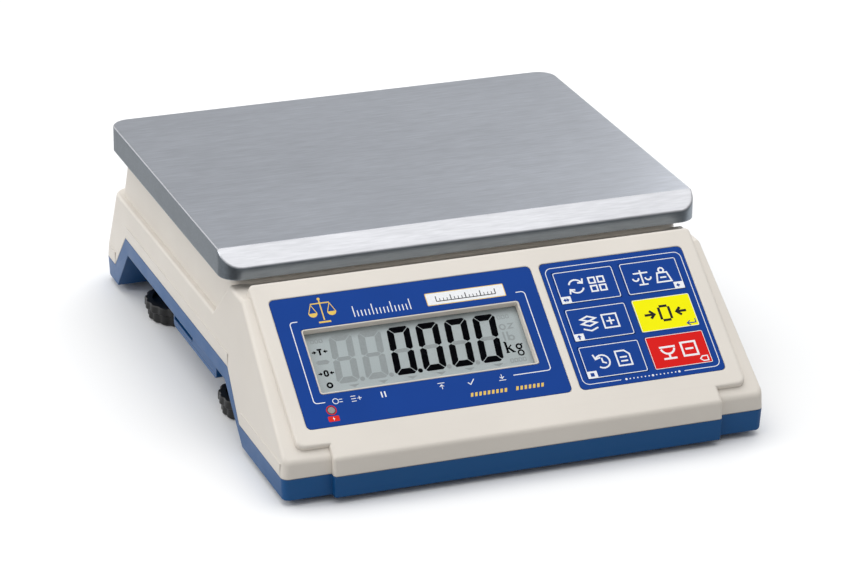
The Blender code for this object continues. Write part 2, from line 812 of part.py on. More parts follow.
def foot_bosses():
    """Bosses on both sides of the arch floor, which hold the feet's studs."""
    low, high = 0.0185, ARCH_FLOOR_Z + 0.0045
    return [rod(0.0068, (x, y, low), (x, y, high), 20) for _, x, y in foot_places()]


def stud_holes():
    radius = STUD_RADIUS + 0.0004
    return [rod(radius, (x, y, 0), (x, y, 0.06), 16) for _, x, y in foot_places()]


# ---------------------------------------------------------------- pan and its support


def pan_solid(inset, low):
    """The pan's outline as a solid, with the bevel along its front, moved in by inset."""
    corners = rectangle(
        (-PAN_HALF_WIDTH + inset, PAN_FRONT_Y + inset), (PAN_HALF_WIDTH - inset, PAN_REAR_Y - inset)
    )
    top = PAN_TOP_Z - inset
    solid = slab([rounded(corners, PAN_CORNER_RADIUS - inset, 12)], low, top)
    tilt = math.atan2(BEVEL_DROP, BEVEL_DEPTH)
    normal = Vector((0, -math.sin(tilt), math.cos(tilt)))
    start = Vector((0, PAN_FRONT_Y + BEVEL_DEPTH, PAN_TOP_Z)) - normal * inset

    def plane_off(bm):
        geometry = bm.verts[:] + bm.edges[:] + bm.faces[:]
        found = bmesh.ops.bisect_plane(
            bm, geom=geometry, plane_co=start, plane_no=normal, clear_outer=True
        )
        rim = [item for item in found["geom_cut"] if isinstance(item, bmesh.types.BMEdge)]
        bmesh.ops.contextual_create(bm, geom=rim)
        bmesh.ops.recalc_face_normals(bm, faces=bm.faces)

    return edit(solid, plane_off)


def make_pan():
    pan = pan_solid(0.0, PAN_SKIRT_Z)
    bevel(pan, 0.0010, 3, is_rim)
    cut(pan, pan_solid(PAN_SHEET, PAN_SKIRT_Z - 0.01))
    origin_at(pan, (0, PAN_Y, PAN_TOP_Z))
    return piece(smooth(pan), "weighing_pan", STAINLESS)


def make_pan_support():
    """A casting with a post to the load cell and four ribbed arms."""
    low, high = ARM_Z
    half_depth = 0.026
    support = box((-0.030, PAN_Y - half_depth, low), (0.066, PAN_Y + half_depth, high + 0.001))
    reach = math.hypot(*SUPPORT_ARM)
    for x, y in pad_places():
        angle = math.atan2(y - PAN_Y, x)
        place = Matrix.Translation((0, PAN_Y, 0)) @ Matrix.Rotation(angle, 4, "Z")
        arm = box((ARM_START, -0.009, low + 0.0006), (reach, 0.009, high), place)
        rib = box((ARM_START, -0.002, low + 0.0014), (reach, 0.002, high + RIB_HEIGHT), place)
        join(support, arm, rib)
    for x, y in pad_places():
        join(support, rod(0.011, (x, y, low - 0.0006), (x, y, PAD_SEAT_Z), 20))
    post_half = 0.014
    post = box(
        (CELL_SCREW_X - post_half, PAN_Y - post_half, SUPPORT_FOOT_Z),
        (CELL_SCREW_X + post_half, PAN_Y + post_half, low + 0.0021),
    )
    join(support, post)
    for x, y in cell_screw_places()[2:]:
        cut(support, rod(M6_CLEARANCE, (x, y, 0.05), (x, y, 0.12), 12))
    origin_at(support, (CELL_SCREW_X, PAN_Y, SUPPORT_FOOT_Z))
    return piece(smooth(support), "pan_support", ALUMINIUM)


def pad_places():
    x, y = SUPPORT_ARM
    return [(side * x, PAN_Y + end * y) for side in (-1, 1) for end in (-1, 1)]


def make_pan_pads():
    top, seat, chamfer = PAN_TOP_Z - PAN_SHEET - GAP, PAD_SEAT_Z + GAP, 0.001
    profile = [(0, top), (PAD_RADIUS - chamfer, top), (PAD_RADIUS, top - chamfer)]
    profile += [(PAD_RADIUS, seat), (0, seat)]
    for number, (x, y) in enumerate(pad_places(), 1):
        piece(turned(profile, (x, y, 0), 16), f"pan_pad_{number}", RUBBER)


# ---------------------------------------------------------------- load cell


def make_load_cell():
    """A beam with two round holes joined by a slot, which leave it thin where it bends."""
    half_length, half_width = CELL_LENGTH / 2, CELL_WIDTH / 2
    low = (-half_length, PAN_Y - half_width, CELL_BOTTOM_Z)
    cell = box(low, (half_length, PAN_Y + half_width, CELL_BOTTOM_Z + CELL_HEIGHT))
    middle = CELL_BOTTOM_Z + CELL_HEIGHT / 2
    front, rear, half_slot = PAN_Y - CELL_WIDTH, PAN_Y + CELL_WIDTH, 0.003
    for x in (-GAUGE_X, GAUGE_X):
        cut(cell, rod(GAUGE_RADIUS, (x, front, middle), (x, rear, middle), 20))
    cut(cell, box((-GAUGE_X, front, middle - half_slot), (GAUGE_X, rear, middle + half_slot)))
    for x, y in cell_screw_places():
        cut(cell, rod(M6_CLEARANCE, (x, y, 0), (x, y, 0.1), 12))
    return piece(smooth(cell), "load_cell", ALUMINIUM)


def cell_screw_places():
    spread = (-CELL_SCREW_SPREAD, CELL_SCREW_SPREAD)
    return [(x, PAN_Y + y) for x in (-CELL_SCREW_X, CELL_SCREW_X) for y in spread]


def make_cell_plates():
    floor = ARCH_FLOOR_Z + WALL + GAP
    plate = box((-0.072, 0.033, floor), (0.072, 0.0665, floor + 0.004))
    step_low, step_high = floor + 0.003, CELL_BOTTOM_Z - GAP
    join(plate, box((-0.0648, 0.0345, step_low), (-0.037, 0.0641, step_high)))
    for x, y in cell_screw_places()[:2]:
        cut(plate, rod(M6_CLEARANCE, (x, y, 0), (x, y, 0.1), 12))
    cut(plate, rod(0.0028, (CELL_SCREW_X, PAN_Y, 0), (CELL_SCREW_X, PAN_Y, 0.1), 12))
    piece(plate, "cell_base_plate", STEEL)
    low = CELL_BOTTOM_Z + CELL_HEIGHT + GAP
    spacer = box((0.037, 0.0345, low), (0.0648, 0.0641, SUPPORT_FOOT_Z - GAP))
    for x, y in cell_screw_places()[2:]:
        cut(spacer, rod(M6_CLEARANCE, (x, y, 0), (x, y, 0.1), 12))
    piece(spacer, "cell_top_spacer", STEEL)


def make_cell_screws():
    """Two screws from the cell into the base plate, and two from the support into the cell."""
    shank, head = 0.0028, 0.0048
    for number, (x, y) in enumerate(cell_screw_places(), 1):
        if x < 0:
            seat, height, tip = CELL_BOTTOM_Z + CELL_HEIGHT + GAP, 0.005, 0.0375
        else:
            seat, height, tip = ARM_Z[1] + 0.001 + GAP, 0.0035, CELL_BOTTOM_Z + 0.004
        top = seat + height
        profile = [(0, top), (head, top), (head, seat), (shank, seat), (shank, tip), (0, tip)]
        piece(turned(profile, (x, y, 0), 12), f"load_cell_screw_{number}", STEEL)


def make_overload_stop():
    """A set screw in the base plate just under the free end of the load cell."""
    top, low = CELL_BOTTOM_Z - 0.0006, 0.0368
    profile = [(0, top), (0.0018, top), (0.0025, top - 0.0007), (0.0025, low), (0, low)]
    piece(turned(profile, (CELL_SCREW_X, PAN_Y, 0), 12), "overload_stop_screw", STEEL)


# ---------------------------------------------------------------- console pieces


def make_display_label():
    window = (label_us(WINDOW_U, 0.0011), label_us(WINDOW_V, 0.0011), 0.0015)
    lamp = rod(0.0026, panel_point(LED_U, LED_V, -0.01), panel_point(LED_U, LED_V, 0.01), 20)
    thickness = (LABEL_BOTTOM_W, LABEL_TOP_W)
    label = panel_slab(DISPLAY_LABEL_U, (0, LABEL_HEIGHT), thickness, LABEL_RADIUS, [window])
    piece(cut(label, lamp), "display_label", LABEL_BLUE)


def key_names():
    names = (("key_mode", "key_unit"), ("key_accumulate", "key_zero"), ("key_recall", "key_tare"))
    for row, row_names in zip(KEY_ROWS, names):
        for column, name in zip(KEY_COLUMNS, row_names):
            yield name, column, row


def make_keypad():
    holes = [(label_us(us, GAP), label_us(vs, GAP), KEY_RADIUS) for _, us, vs in key_names()]
    overlay = panel_slab(
        KEYPAD_U, (0, LABEL_HEIGHT), (LABEL_BOTTOM_W, LABEL_TOP_W), LABEL_RADIUS, holes
    )
    piece(overlay, "keypad_overlay", LABEL_BLUE)
    finishes = {"key_zero": YELLOW, "key_tare": RED}
    for name, us, vs in key_names():
        key = panel_slab(us, vs, (LABEL_BOTTOM_W - 0.0002, KEY_TOP_W), KEY_RADIUS, segments=2)
        origin_at(key, panel_point(sum(us) / 2, sum(vs) / 2, 0))
        piece(key, name, finishes.get(name, LABEL_BLUE))
    margin = 0.0035
    vs = (margin, LABEL_HEIGHT - margin)
    board = panel_box(label_us(KEYPAD_U, -margin), vs, (-0.0028, -0.0012))
    piece(board, "keypad_circuit", CIRCUIT_GREEN)


def make_display():
    us, vs = label_us(WINDOW_U, -GAP), label_us(WINDOW_V, -GAP)
    window = panel_slab(us, vs, (-0.0049, -0.0041), 0.001)
    piece(window, "display_window", GLASS)
    lcd = panel_box(label_us(WINDOW_U, 0.003), label_us(WINDOW_V, 0.003), (-0.0117, -0.0053))
    piece(lcd, "lcd_module", LCD_GREY)


def make_main_board():
    board = panel_box((-0.122, 0.1325), (0.010, 0.082), (BOARD_TOP_W - 0.0016, BOARD_TOP_W))
    notch = panel_box((0.1255, 0.14), (0.063, 0.09), (-0.02, 0))
    chips = [
        panel_box((-0.030, -0.010), (0.030, 0.050), (-0.0160, -0.0130)),
        panel_box((0.020, 0.032), (0.030, 0.042), (-0.0155, -0.0130)),
        panel_box((-0.085, -0.065), (0.060, 0.068), (-0.0190, -0.0130)),
        panel_box((-0.008, 0.008), (0.014, 0.022), (-0.0190, -0.0130)),
    ]
    lamp = rod(0.0030, panel_point(LED_U, LED_V, -0.02), panel_point(LED_U, LED_V, 0.0), 12)
    piece(cut(join(board, *chips), lamp, notch), "main_board", CIRCUIT_GREEN)
    place = panel_point(0.060, 0.040, 0)
    buzzer = rod(0.006, place - PANEL_NORMAL * 0.0220, place - PANEL_NORMAL * 0.0139, 20)
    piece(buzzer, "buzzer", BLACK_PLASTIC)
    ribbon = panel_box((0.070, 0.090), (0.060, 0.074), (-0.0117, -0.0031))
    piece(ribbon, "keypad_connector", GREY_PLASTIC)


def make_charge_lamp():
    """A lamp on the main board that shows through the display label."""
    outer, inner = panel_point(LED_U, LED_V, 0.0), panel_point(LED_U, LED_V, -0.0150)
    piece(rod(0.0022, inner, outer, 20), "charge_lamp", GREY_PLASTIC)


# ---------------------------------------------------------------- power


def make_power_parts():
    board = box((0.088, -0.034, 0.0365), (0.140, 0.036, 0.0381))
    join(
        board,
        box((0.094, -0.028, 0.037), (0.114, -0.008, 0.052)),
        rod(0.005, (0.124, -0.020, 0.037), (0.124, -0.020, 0.054), 16),
        box((0.094, 0.010, 0.037), (0.104, 0.026, 0.050)),
    )
    piece(board, "power_board", CIRCUIT_GREEN)
    make_switch_body(BAY_OUTER_X + GAP)
    make_rocker()
    make_supply_socket(BAY_OUTER_X + GAP)


def switch_box(xs, extra):
    """A box round the switch's axis, larger than the switch body by extra on each side."""
    half_length, half_height = SWITCH_HALF[0] + extra, SWITCH_HALF[1] + extra
    return box(
        (xs[0], SWITCH_Y - half_length, BAY_AXIS_Z - half_height),
        (xs[1], SWITCH_Y + half_length, BAY_AXIS_Z + half_height),
    )


def make_switch_body(face):
    frame = switch_box((face, face + 0.0012), 0.0017)
    join(frame, switch_box((0.128, face + 0.0006), 0.0))
    cut(frame, switch_box((0.1395, 0.16), -0.0007))
    piece(frame, "power_switch_body", BLACK_PLASTIC)


def make_supply_socket(face):
    def bar(radius, start, end, segments):
        return rod(radius, (start, SOCKET_Y, BAY_AXIS_Z), (end, SOCKET_Y, BAY_AXIS_Z), segments)

    flange = bar(0.0052, face, face + 0.001, 20)
    barrel = bar(0.0041, 0.131, face + 0.0005, 20)
    mouth = bar(0.0028, 0.136, 0.16, 16)
    pin = bar(0.0010, 0.134, face, 10)
    piece(smooth(join(cut(join(flange, barrel), mouth), pin)), "supply_socket", BLACK_PLASTIC)


def make_rocker():
    """A rocker whose outer face is two flats that meet at the pivot, resting in its off state."""
    length, low, high = 0.0062, 0.0250, 0.0300
    outline = [
        (-0.0022, -length * 0.72),
        (0.0018, -length),
        (0.0013, 0.0),
        (0.0018, length),
        (-0.0022, length * 0.72),
    ]
    turn = Matrix.Rotation(-ROCKER_TILT, 4, "Z")
    rocker = slab([outline], low - BAY_AXIS_Z, high - BAY_AXIS_Z, turn)
    rocker.location = (ROCKER_PIVOT_X, SWITCH_Y, BAY_AXIS_Z)
    piece(rocker, "power_rocker", GREY_PLASTIC)


def make_battery():
    low, high = (-0.1388, -0.0385, 0.0239), (-0.0389, 0.0315, 0.0708)
    battery = box(low, high)
    bevel(battery, 0.0015, 2, lambda e: True)
    for y in (-0.030, 0.023):
        join(battery, box((-0.052, y - 0.003, 0.0700), (-0.046, y + 0.003, 0.0740)))
    piece(battery, "battery", BATTERY_GREY)
    cover = box(
        (-BAY_OUTER_X, BAY_FRONT_Y + WALL + GAP, BAY_BOTTOM_Z),
        (-BATTERY_BAY_INNER_X - WALL - GAP, BAY_REAR_Y - WALL - GAP, COVER_TOP_Z),
    )
    for x in (-0.138, -0.134, -0.130):
        groove = box((x, -0.02, 0), (x + 0.002, 0.022, BAY_BOTTOM_Z + 0.0008))
        cut(cover, groove)
    origin_at(cover, (-BAY_OUTER_X, (BAY_FRONT_Y + BAY_REAR_Y) / 2, BAY_BOTTOM_Z))
    piece(cover, "battery_cover", BLUE)


def make_cables():
    from_cell = [
        (-0.0656, PAN_Y, 0.056),
        (-0.0690, PAN_Y, 0.0562),
        (-0.074, 0.046, 0.064),
        (-0.066, 0.030, 0.077),
        (-0.030, -0.010, 0.079),
        (-0.012, -0.060, 0.070),
        (-0.002, -0.094, 0.0615),
    ]
    positive = [
        (-0.0490, 0.0230, 0.0757),
        (-0.030, 0.020, 0.074),
        (0.020, -0.004, 0.060),
        (0.070, -0.012, 0.056),
        (0.090, -0.012, 0.0548),
    ]
    negative = [
        (-0.0490, -0.0300, 0.0757),
        (-0.030, -0.030, 0.074),
        (0.020, -0.026, 0.060),
        (0.070, -0.022, 0.056),
        (0.090, -0.020, 0.0548),
    ]
    cable("load_cell_cable", from_cell, 0.0017, GREY_PLASTIC)
    cable("battery_lead_positive", positive, 0.0009, RED)
    cable("battery_lead_negative", negative, 0.0009, BLACK_PLASTIC)


# ---------------------------------------------------------------- level, feet and screws


def make_level():
    """A bull's-eye level: a cup with a flange on the deck, and the vial in it."""
    rim, seat, floor, bottom = DECK_Z + GAP, DECK_Z + 0.0012, 0.0885, 0.0870
    bore, flange = 0.0073, 0.0110
    cup = [(bore, seat), (flange, seat), (flange, rim), (LEVEL_RADIUS, rim), (LEVEL_RADIUS, bottom)]
    cup += [(0, bottom), (0, floor), (bore, floor), (bore, seat)]
    piece(turned(cup, (*LEVEL_PLACE, 0), 24), "level_holder", BLACK_PLASTIC)
    top, low, radius = DECK_Z + 0.0015, floor + 0.0004, 0.0068
    vial = [(0, top + 0.0002), (0.0050, top), (radius, top - 0.0008), (radius, low), (0, low)]
    piece(turned(vial, (*LEVEL_PLACE, 0), 24), "level_vial", LIQUID_GREEN)


def lobed(radius, depth, per_lobe=5):
    """A round outline with rounded lobes."""
    outline = []
    count = FOOT_LOBES * per_lobe
    for step in range(count):
        angle = 2 * math.pi * step / count
        bulge = abs(math.cos(FOOT_LOBES * angle / 2))
        size = radius - depth * (1 - bulge) ** 1.5 * 1.6
        outline.append((size * math.cos(angle), size * math.sin(angle)))
    return outline


def is_knob_rim(edge):
    """An edge between a knob's lobed side and its top or bottom."""
    steep, flat = sorted(abs(face.normal.z) for face in edge.link_faces)
    return steep < 0.1 and flat > 0.9


def make_feet():
    for name, x, y in foot_places():
        flange = slab([lobed(FOOT_FLANGE_RADIUS, FOOT_LOBE_DEPTH)], FOOT_FLANGE_Z, FOOT_TOP_Z)
        grip = slab([lobed(FOOT_GRIP_RADIUS, FOOT_LOBE_DEPTH)], FOOT_GRIP_Z, FOOT_FLANGE_Z + 0.001)
        bevel(flange, 0.0006, 1, is_knob_rim)
        bevel(grip, 0.0005, 1, is_knob_rim)
        stud = rod(STUD_RADIUS, (0, 0, 0.006), (0, 0, 0.0335), 16)
        dish = rod(0.0185, (0, 0, FOOT_TOP_Z - 0.0022), (0, 0, 0.02), 24)
        recess = rod(SOLE_RADIUS + 0.0004, (0, 0, -0.01), (0, 0, SOLE_HEIGHT + GAP), 32)
        knob = join(cut(join(flange, grip), dish, recess), stud)
        place_group([knob, grip, stud, dish, recess], (x, y, 0))
        piece(smooth(knob), f"foot_knob_{name}", BLACK_PLASTIC)
        chamfer = 0.0006
        profile = [(0, SOLE_HEIGHT), (SOLE_RADIUS, SOLE_HEIGHT), (SOLE_RADIUS, chamfer)]
        profile += [(SOLE_RADIUS - chamfer, 0), (0, 0)]
        piece(turned(profile, (x, y, 0), 32), f"foot_sole_{name}", RUBBER)


def place_group(objects, place):
    for obj in objects:
        obj.location = Vector(obj.location) + Vector(place)


def make_housing_screws():
    """Screws up through the base posts into the upper housing's posts."""
    head_low, seat, tip = BOTTOM_Z + 0.0008, BOTTOM_Z + HEAD_HOLE_DEPTH - GAP, 0.0305
    shank, head = 0.0016, 0.0033
    profile = [(0, tip), (shank / 2, tip - 0.0005), (shank, tip - 0.002), (shank, seat)]
    profile += [(head, seat), (head, head_low), (0, head_low)]
    for name, (x, y) in SCREWS.items():
        screw = turned(profile, (x, y, 0), 12)
        cross = box((x - 0.002, y - 0.0004, 0), (x + 0.002, y + 0.0004, head_low + 0.0012))
        piece(cut(screw, cross), f"housing_screw_{name}", STEEL)


clear_scene()
PARTS = new_collection("counting_scale")
CUTTERS = new_collection("cutters")
make_upper_housing()
make_base_housing()
make_pan()
make_pan_support()
make_pan_pads()
make_load_cell()
make_cell_plates()
make_cell_screws()
make_overload_stop()
make_display_label()
make_keypad()
make_display()
make_main_board()
make_charge_lamp()
make_power_parts()
make_battery()
make_cables()
make_level()
make_feet()
make_housing_screws()
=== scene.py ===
"""Looks for the counting scale: materials, printed art, display segments, stage, light and camera.

Metres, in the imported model's frame: +Z up, -Y towards the operator. Art on the console's sloped face
is drawn in panel millimetres: u to the right, v down the slope from the top of the labels, w out of it.
"""

import json
import math

import bmesh
import bpy
from mathutils import Matrix, Vector


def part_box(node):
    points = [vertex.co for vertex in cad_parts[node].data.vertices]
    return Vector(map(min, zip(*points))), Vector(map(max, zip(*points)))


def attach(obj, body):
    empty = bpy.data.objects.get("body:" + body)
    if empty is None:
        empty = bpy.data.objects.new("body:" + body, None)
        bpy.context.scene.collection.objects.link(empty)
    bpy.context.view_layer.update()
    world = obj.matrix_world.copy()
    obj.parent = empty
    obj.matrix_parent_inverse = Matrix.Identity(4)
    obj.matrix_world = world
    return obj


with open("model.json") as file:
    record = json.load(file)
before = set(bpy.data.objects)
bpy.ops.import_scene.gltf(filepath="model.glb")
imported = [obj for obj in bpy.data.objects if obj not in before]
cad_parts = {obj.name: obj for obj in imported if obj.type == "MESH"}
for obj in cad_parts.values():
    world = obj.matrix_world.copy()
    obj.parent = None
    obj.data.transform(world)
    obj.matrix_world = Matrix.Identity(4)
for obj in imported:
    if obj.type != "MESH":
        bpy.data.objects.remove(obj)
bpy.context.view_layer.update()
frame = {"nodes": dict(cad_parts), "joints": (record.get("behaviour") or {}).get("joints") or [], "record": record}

NODES = frame["nodes"]
JOINTS = {joint["name"]: joint for joint in frame["joints"]}
MM = 0.001

# The panel's axes come from the direction in which its keys are pressed.
PANEL_NORMAL = -Vector(JOINTS["key_mode_press"]["axis"]).normalized()
PANEL_DOWN = Vector((1, 0, 0)).cross(PANEL_NORMAL).normalized()
LABEL_THICKNESS = 0.45 * MM
LABEL_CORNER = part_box("display_label")[1]
LABEL_TOP = Vector((0, LABEL_CORNER.y + PANEL_NORMAL.y * LABEL_THICKNESS, LABEL_CORNER.z))

# Panel millimetres.
KEY_RISE = 0.25  # from the labels' face to the keys' face
LCD_DEPTH = -5.25  # from the labels' face to the display's face
WINDOW_TOP = 23.0
INK = 0.03  # a print's thickness
INK_STEP = 0.001  # each shape of one print lies this much above the shape before it


def panel_point(u, v, w=0.0):
    """The place in metres of a point given in panel millimetres."""
    return LABEL_TOP + (Vector((u, 0, 0)) + PANEL_DOWN * v + PANEL_NORMAL * w) * MM


def panel_sides(name):
    """A node's left and right ends in panel millimetres."""
    low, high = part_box(name)
    return low.x / MM, high.x / MM


WINDOW_LEFT, WINDOW_RIGHT = panel_sides("display_window")
LABEL_LEFT = panel_sides("display_label")[0]
KEYPAD_LEFT, KEYPAD_RIGHT = panel_sides("keypad_overlay")


# ---------------------------------------------------------------- node helpers


def add(tree, kind, inputs=None, **settings):
    """Adds a shader node; an input is a value or another node's output socket."""
    node = tree.nodes.new(kind)
    for key, value in settings.items():
        setattr(node, key, value)
    for key, value in (inputs or {}).items():
        if isinstance(value, bpy.types.NodeSocket):
            tree.links.new(value, node.inputs[key])
        else:
            node.inputs[key].default_value = value
    return node


def start_material(name, colour, roughness, metallic=0.0, coat=0.0):
    """A new material, its node tree, its shader and the object's coordinates."""
    material = bpy.data.materials.new(name)
    material.use_nodes = True
    tree = material.node_tree
    shader = tree.nodes["Principled BSDF"]
    shader.inputs["Base Color"].default_value = (*colour, 1)
    shader.inputs["Roughness"].default_value = roughness
    shader.inputs["Metallic"].default_value = metallic
    shader.inputs["Coat Weight"].default_value = coat
    place = add(tree, "ShaderNodeTexCoord").outputs["Object"]
    return material, tree, shader, place


def noise(tree, place, scale, detail=2.0, stretch=(1, 1, 1)):
    """Noise of a given number of features per metre, between about 0.3 and 0.7."""
    scaled = add(tree, "ShaderNodeMapping", {"Vector": place, "Scale": stretch})
    inputs = {"Vector": scaled.outputs[0], "Scale": scale, "Detail": detail}
    return add(tree, "ShaderNodeTexNoise", inputs).outputs["Fac"]


def spread(tree, value, low, high):
    """Maps noise onto the range low to high."""
    return ranged(tree, value, 0.3, 0.7, low, high)


def tinted(tree, colour, factor):
    """The colour with its brightness multiplied by factor."""
    made = add(tree, "ShaderNodeVectorMath", {0: colour, "Scale": factor}, operation="SCALE")
    return made.outputs[0]


def product(tree, *values):
    """The values multiplied together."""
    total = values[0]
    for value in values[1:]:
        total = add(tree, "ShaderNodeMath", {0: total, 1: value}, operation="MULTIPLY").outputs[0]
    return total


def ranged(tree, value, start, end, low, high, smooth=False):
    """A number that goes from low to high while value goes from start to end."""
    inputs = {"Value": value, "From Min": start, "From Max": end, "To Min": low, "To Max": high}
    kind = "SMOOTHSTEP" if smooth else "LINEAR"
    return add(tree, "ShaderNodeMapRange", inputs, interpolation_type=kind).outputs[0]


def shade_choice(tree, factor, first, second):
    """The first value where factor is 0 and the second where it is 1."""
    made = add(tree, "ShaderNodeMix", {"Factor": factor, "A": first, "B": second}, data_type="FLOAT")
    return made.outputs[0]


def ramp(tree, value, stops):
    """A colour that changes with value; stops are (value, colour) pairs in rising order."""
    made = add(tree, "ShaderNodeValToRGB", {"Fac": value})
    elements = made.color_ramp.elements
    while len(elements) < len(stops):
        elements.new(0.5)
    for element, (place, colour) in zip(elements, stops):
        element.position = place
        element.color = (*colour, 1)
    return made.outputs["Color"]


def rounded_normal(tree, radius):
    """Normals that make edges look rounded by radius."""
    return add(tree, "ShaderNodeBevel", {"Radius": radius}, samples=4).outputs[0]


def bump(tree, height, distance, strength=1.0, normal=None):
    """Normals tilted by a texture of a given height in metres."""
    inputs = {"Height": height, "Distance": distance, "Strength": strength}
    if normal is not None:
        inputs["Normal"] = normal
    return add(tree, "ShaderNodeBump", inputs).outputs[0]


def edge_wear_and_highlight(tree, soft):
    """0 on flat surfaces, rising to 1 along edges and in corners; soft is the rounded normal."""
    true = add(tree, "ShaderNodeNewGeometry").outputs["True Normal"]
    match = add(tree, "ShaderNodeVectorMath", {0: soft, 1: true}, operation="DOT_PRODUCT")
    return ranged(tree, match.outputs["Value"], 0.98, 0.7, 0.0, 1.0)


# ---------------------------------------------------------------- materials

# A glossier edge than this renders as spots.
RUBBED_ROUGHNESS = 0.285


def moulded_plastic(name, colour, roughness, grain=1.0, edge=0.6 * MM, sheen=0.5):
    """Moulded plastic with a spark-eroded grain, slightly uneven colour and edges rubbed glossy."""
    material, tree, shader, place = start_material(name, colour, roughness)
    soft = rounded_normal(tree, edge)
    wear_and_highlight = edge_wear_and_highlight(tree, soft)
    gloss = shade_choice(tree, wear_and_highlight, sheen, 2 * sheen)
    tree.links.new(gloss, shader.inputs["Specular IOR Level"])
    mottle = spread(tree, noise(tree, place, 18, 3), 0.975, 1.02)
    tree.links.new(tinted(tree, colour, mottle), shader.inputs["Base Color"])
    rough = spread(tree, noise(tree, place, 60, 4), roughness - 0.04, roughness + 0.05)
    tree.links.new(shade_choice(tree, wear_and_highlight, rough, RUBBED_ROUGHNESS), shader.inputs["Roughness"])
    texture = noise(tree, place, 2600, 3)
    waves = noise(tree, place, 35, 1)
    flow = bump(tree, waves, 0.15 * MM, 0.12, soft)
    depth = shade_choice(tree, wear_and_highlight, 0.35 * grain, 0.06 * grain)
    normal = bump(tree, texture, 0.05 * MM, depth, flow)
    tree.links.new(normal, shader.inputs["Normal"])
    return material


def brushed_stainless(name):
    """Stainless sheet: short brush marks along X, a faint cloudiness, painted shade on the sides, a painted
    reflection tint on bevel and top, and edges painted brighter as part polish and part painted highlight.
    """
    # Colours by facing: the side colour is painted shade, the bevel and top colours are painted reflection tints.
    side, bevel, top = (0.312, 0.352, 0.395), (0.475, 0.477, 0.496), (0.465, 0.488, 0.537)
    material, tree, shader, place = start_material(name, top, 0.3, 1.0)
    fine = noise(tree, place, 1.0, 3, (110, 1500, 1500))
    marks = noise(tree, place, 1.0, 2, (75, 760, 760))
    broad = noise(tree, place, 1.0, 3, (22, 150, 150))
    cloud = noise(tree, place, 11, 4)
    normal = add(tree, "ShaderNodeNewGeometry").outputs["True Normal"]
    upright = add(tree, "ShaderNodeSeparateXYZ", {0: normal}).outputs["Z"]
    # The colour follows the surface's slope: painted shade on the sides, painted reflection tints on bevel and
    # top.
    colour = ramp(tree, upright, ((0.2, side), (0.6, bevel), (0.93, bevel), (0.99, top)))
    shade = product(
        tree,
        spread(tree, fine, 0.95, 1.05),
        spread(tree, marks, 0.93, 1.07),
        spread(tree, broad, 0.965, 1.035),
        spread(tree, cloud, 0.965, 1.035),
    )
    soft = rounded_normal(tree, 0.9 * MM)
    wear_and_highlight = edge_wear_and_highlight(tree, soft)
    # Edges brightened: partly polished metal, partly a painted highlight.
    polish_and_painted_highlight = add(tree, "ShaderNodeMath", {0: wear_and_highlight, 1: 0.6, 2: 1.0}, operation="MULTIPLY_ADD")
    shade = product(tree, shade, polish_and_painted_highlight.outputs[0])
    tree.links.new(tinted(tree, colour, shade), shader.inputs["Base Color"])
    brushed = spread(tree, fine, 0.28, 0.38)
    tree.links.new(shade_choice(tree, wear_and_highlight, brushed, 0.14), shader.inputs["Roughness"])
    shader.inputs["Anisotropic"].default_value = 0.5
    tangent = add(tree, "ShaderNodeCombineXYZ", {"X": 1.0})
    tree.links.new(tangent.outputs[0], shader.inputs["Tangent"])
    tree.links.new(bump(tree, fine, 0.02 * MM, 0.25, soft), shader.inputs["Normal"])
    return material


def printed_film(name, colour):
    """Polyester label film: satin, with a very fine texture and a faint unevenness."""
    material, tree, shader, place = start_material(name, colour, 0.36)
    shader.inputs["Specular IOR Level"].default_value = 0.06
    mottle = spread(tree, noise(tree, place, 30, 2), 0.97, 1.03)
    tree.links.new(tinted(tree, colour, mottle), shader.inputs["Base Color"])
    texture = noise(tree, place, 4200, 2)
    waves = noise(tree, place, 55, 1)
    flow = bump(tree, waves, 0.08 * MM, 0.15)
    tree.links.new(bump(tree, texture, 0.02 * MM, 0.3, flow), shader.inputs["Normal"])
    return material


def ink(name, colour, roughness=0.45, metallic=0.0, sheen=0.12):
    """Printed ink, a little uneven."""
    material, tree, shader, place = start_material(name, colour, roughness, metallic)
    shader.inputs["Specular IOR Level"].default_value = sheen
    mottle = spread(tree, noise(tree, place, 900, 2), 0.94, 1.04)
    tree.links.new(tinted(tree, colour, mottle), shader.inputs["Base Color"])
    return material


def machined_metal(name, colour, roughness, grain=(30, 1400, 1400)):
    """Bare metal with tool marks, closest together across grain, and a little tarnish."""
    material, tree, shader, place = start_material(name, colour, roughness, 1.0)
    marks = noise(tree, place, 1.0, 3, grain)
    tarnish = spread(tree, noise(tree, place, 70, 4), 0.85, 1.05)
    tree.links.new(tinted(tree, colour, tarnish), shader.inputs["Base Color"])
    tree.links.new(spread(tree, marks, roughness - 0.08, roughness + 0.1), shader.inputs["Roughness"])
    soft = rounded_normal(tree, 0.3 * MM)
    tree.links.new(bump(tree, marks, 0.03 * MM, 0.3, soft), shader.inputs["Normal"])
    return material


def cast_metal(name, colour):
    """Sand-blasted casting."""
    material, tree, shader, place = start_material(name, colour, 0.5, 1.0)
    pits = noise(tree, place, 1500, 4)
    cloud = spread(tree, noise(tree, place, 40, 3), 0.88, 1.05)
    tree.links.new(tinted(tree, colour, cloud), shader.inputs["Base Color"])
    tree.links.new(spread(tree, pits, 0.42, 0.62), shader.inputs["Roughness"])
    soft = rounded_normal(tree, 0.7 * MM)
    tree.links.new(bump(tree, pits, 0.12 * MM, 0.6, soft), shader.inputs["Normal"])
    return material


def rubber(name):
    """Matt black rubber with dust in its texture."""
    black = (0.018, 0.018, 0.019)
    material, tree, shader, place = start_material(name, black, 0.8)
    dust = spread(tree, noise(tree, place, 220, 4), 0.7, 1.5)
    tree.links.new(tinted(tree, black, dust), shader.inputs["Base Color"])
    texture = noise(tree, place, 1800, 3)
    soft = rounded_normal(tree, 0.3 * MM)
    tree.links.new(bump(tree, texture, 0.06 * MM, 0.5, soft), shader.inputs["Normal"])
    return material


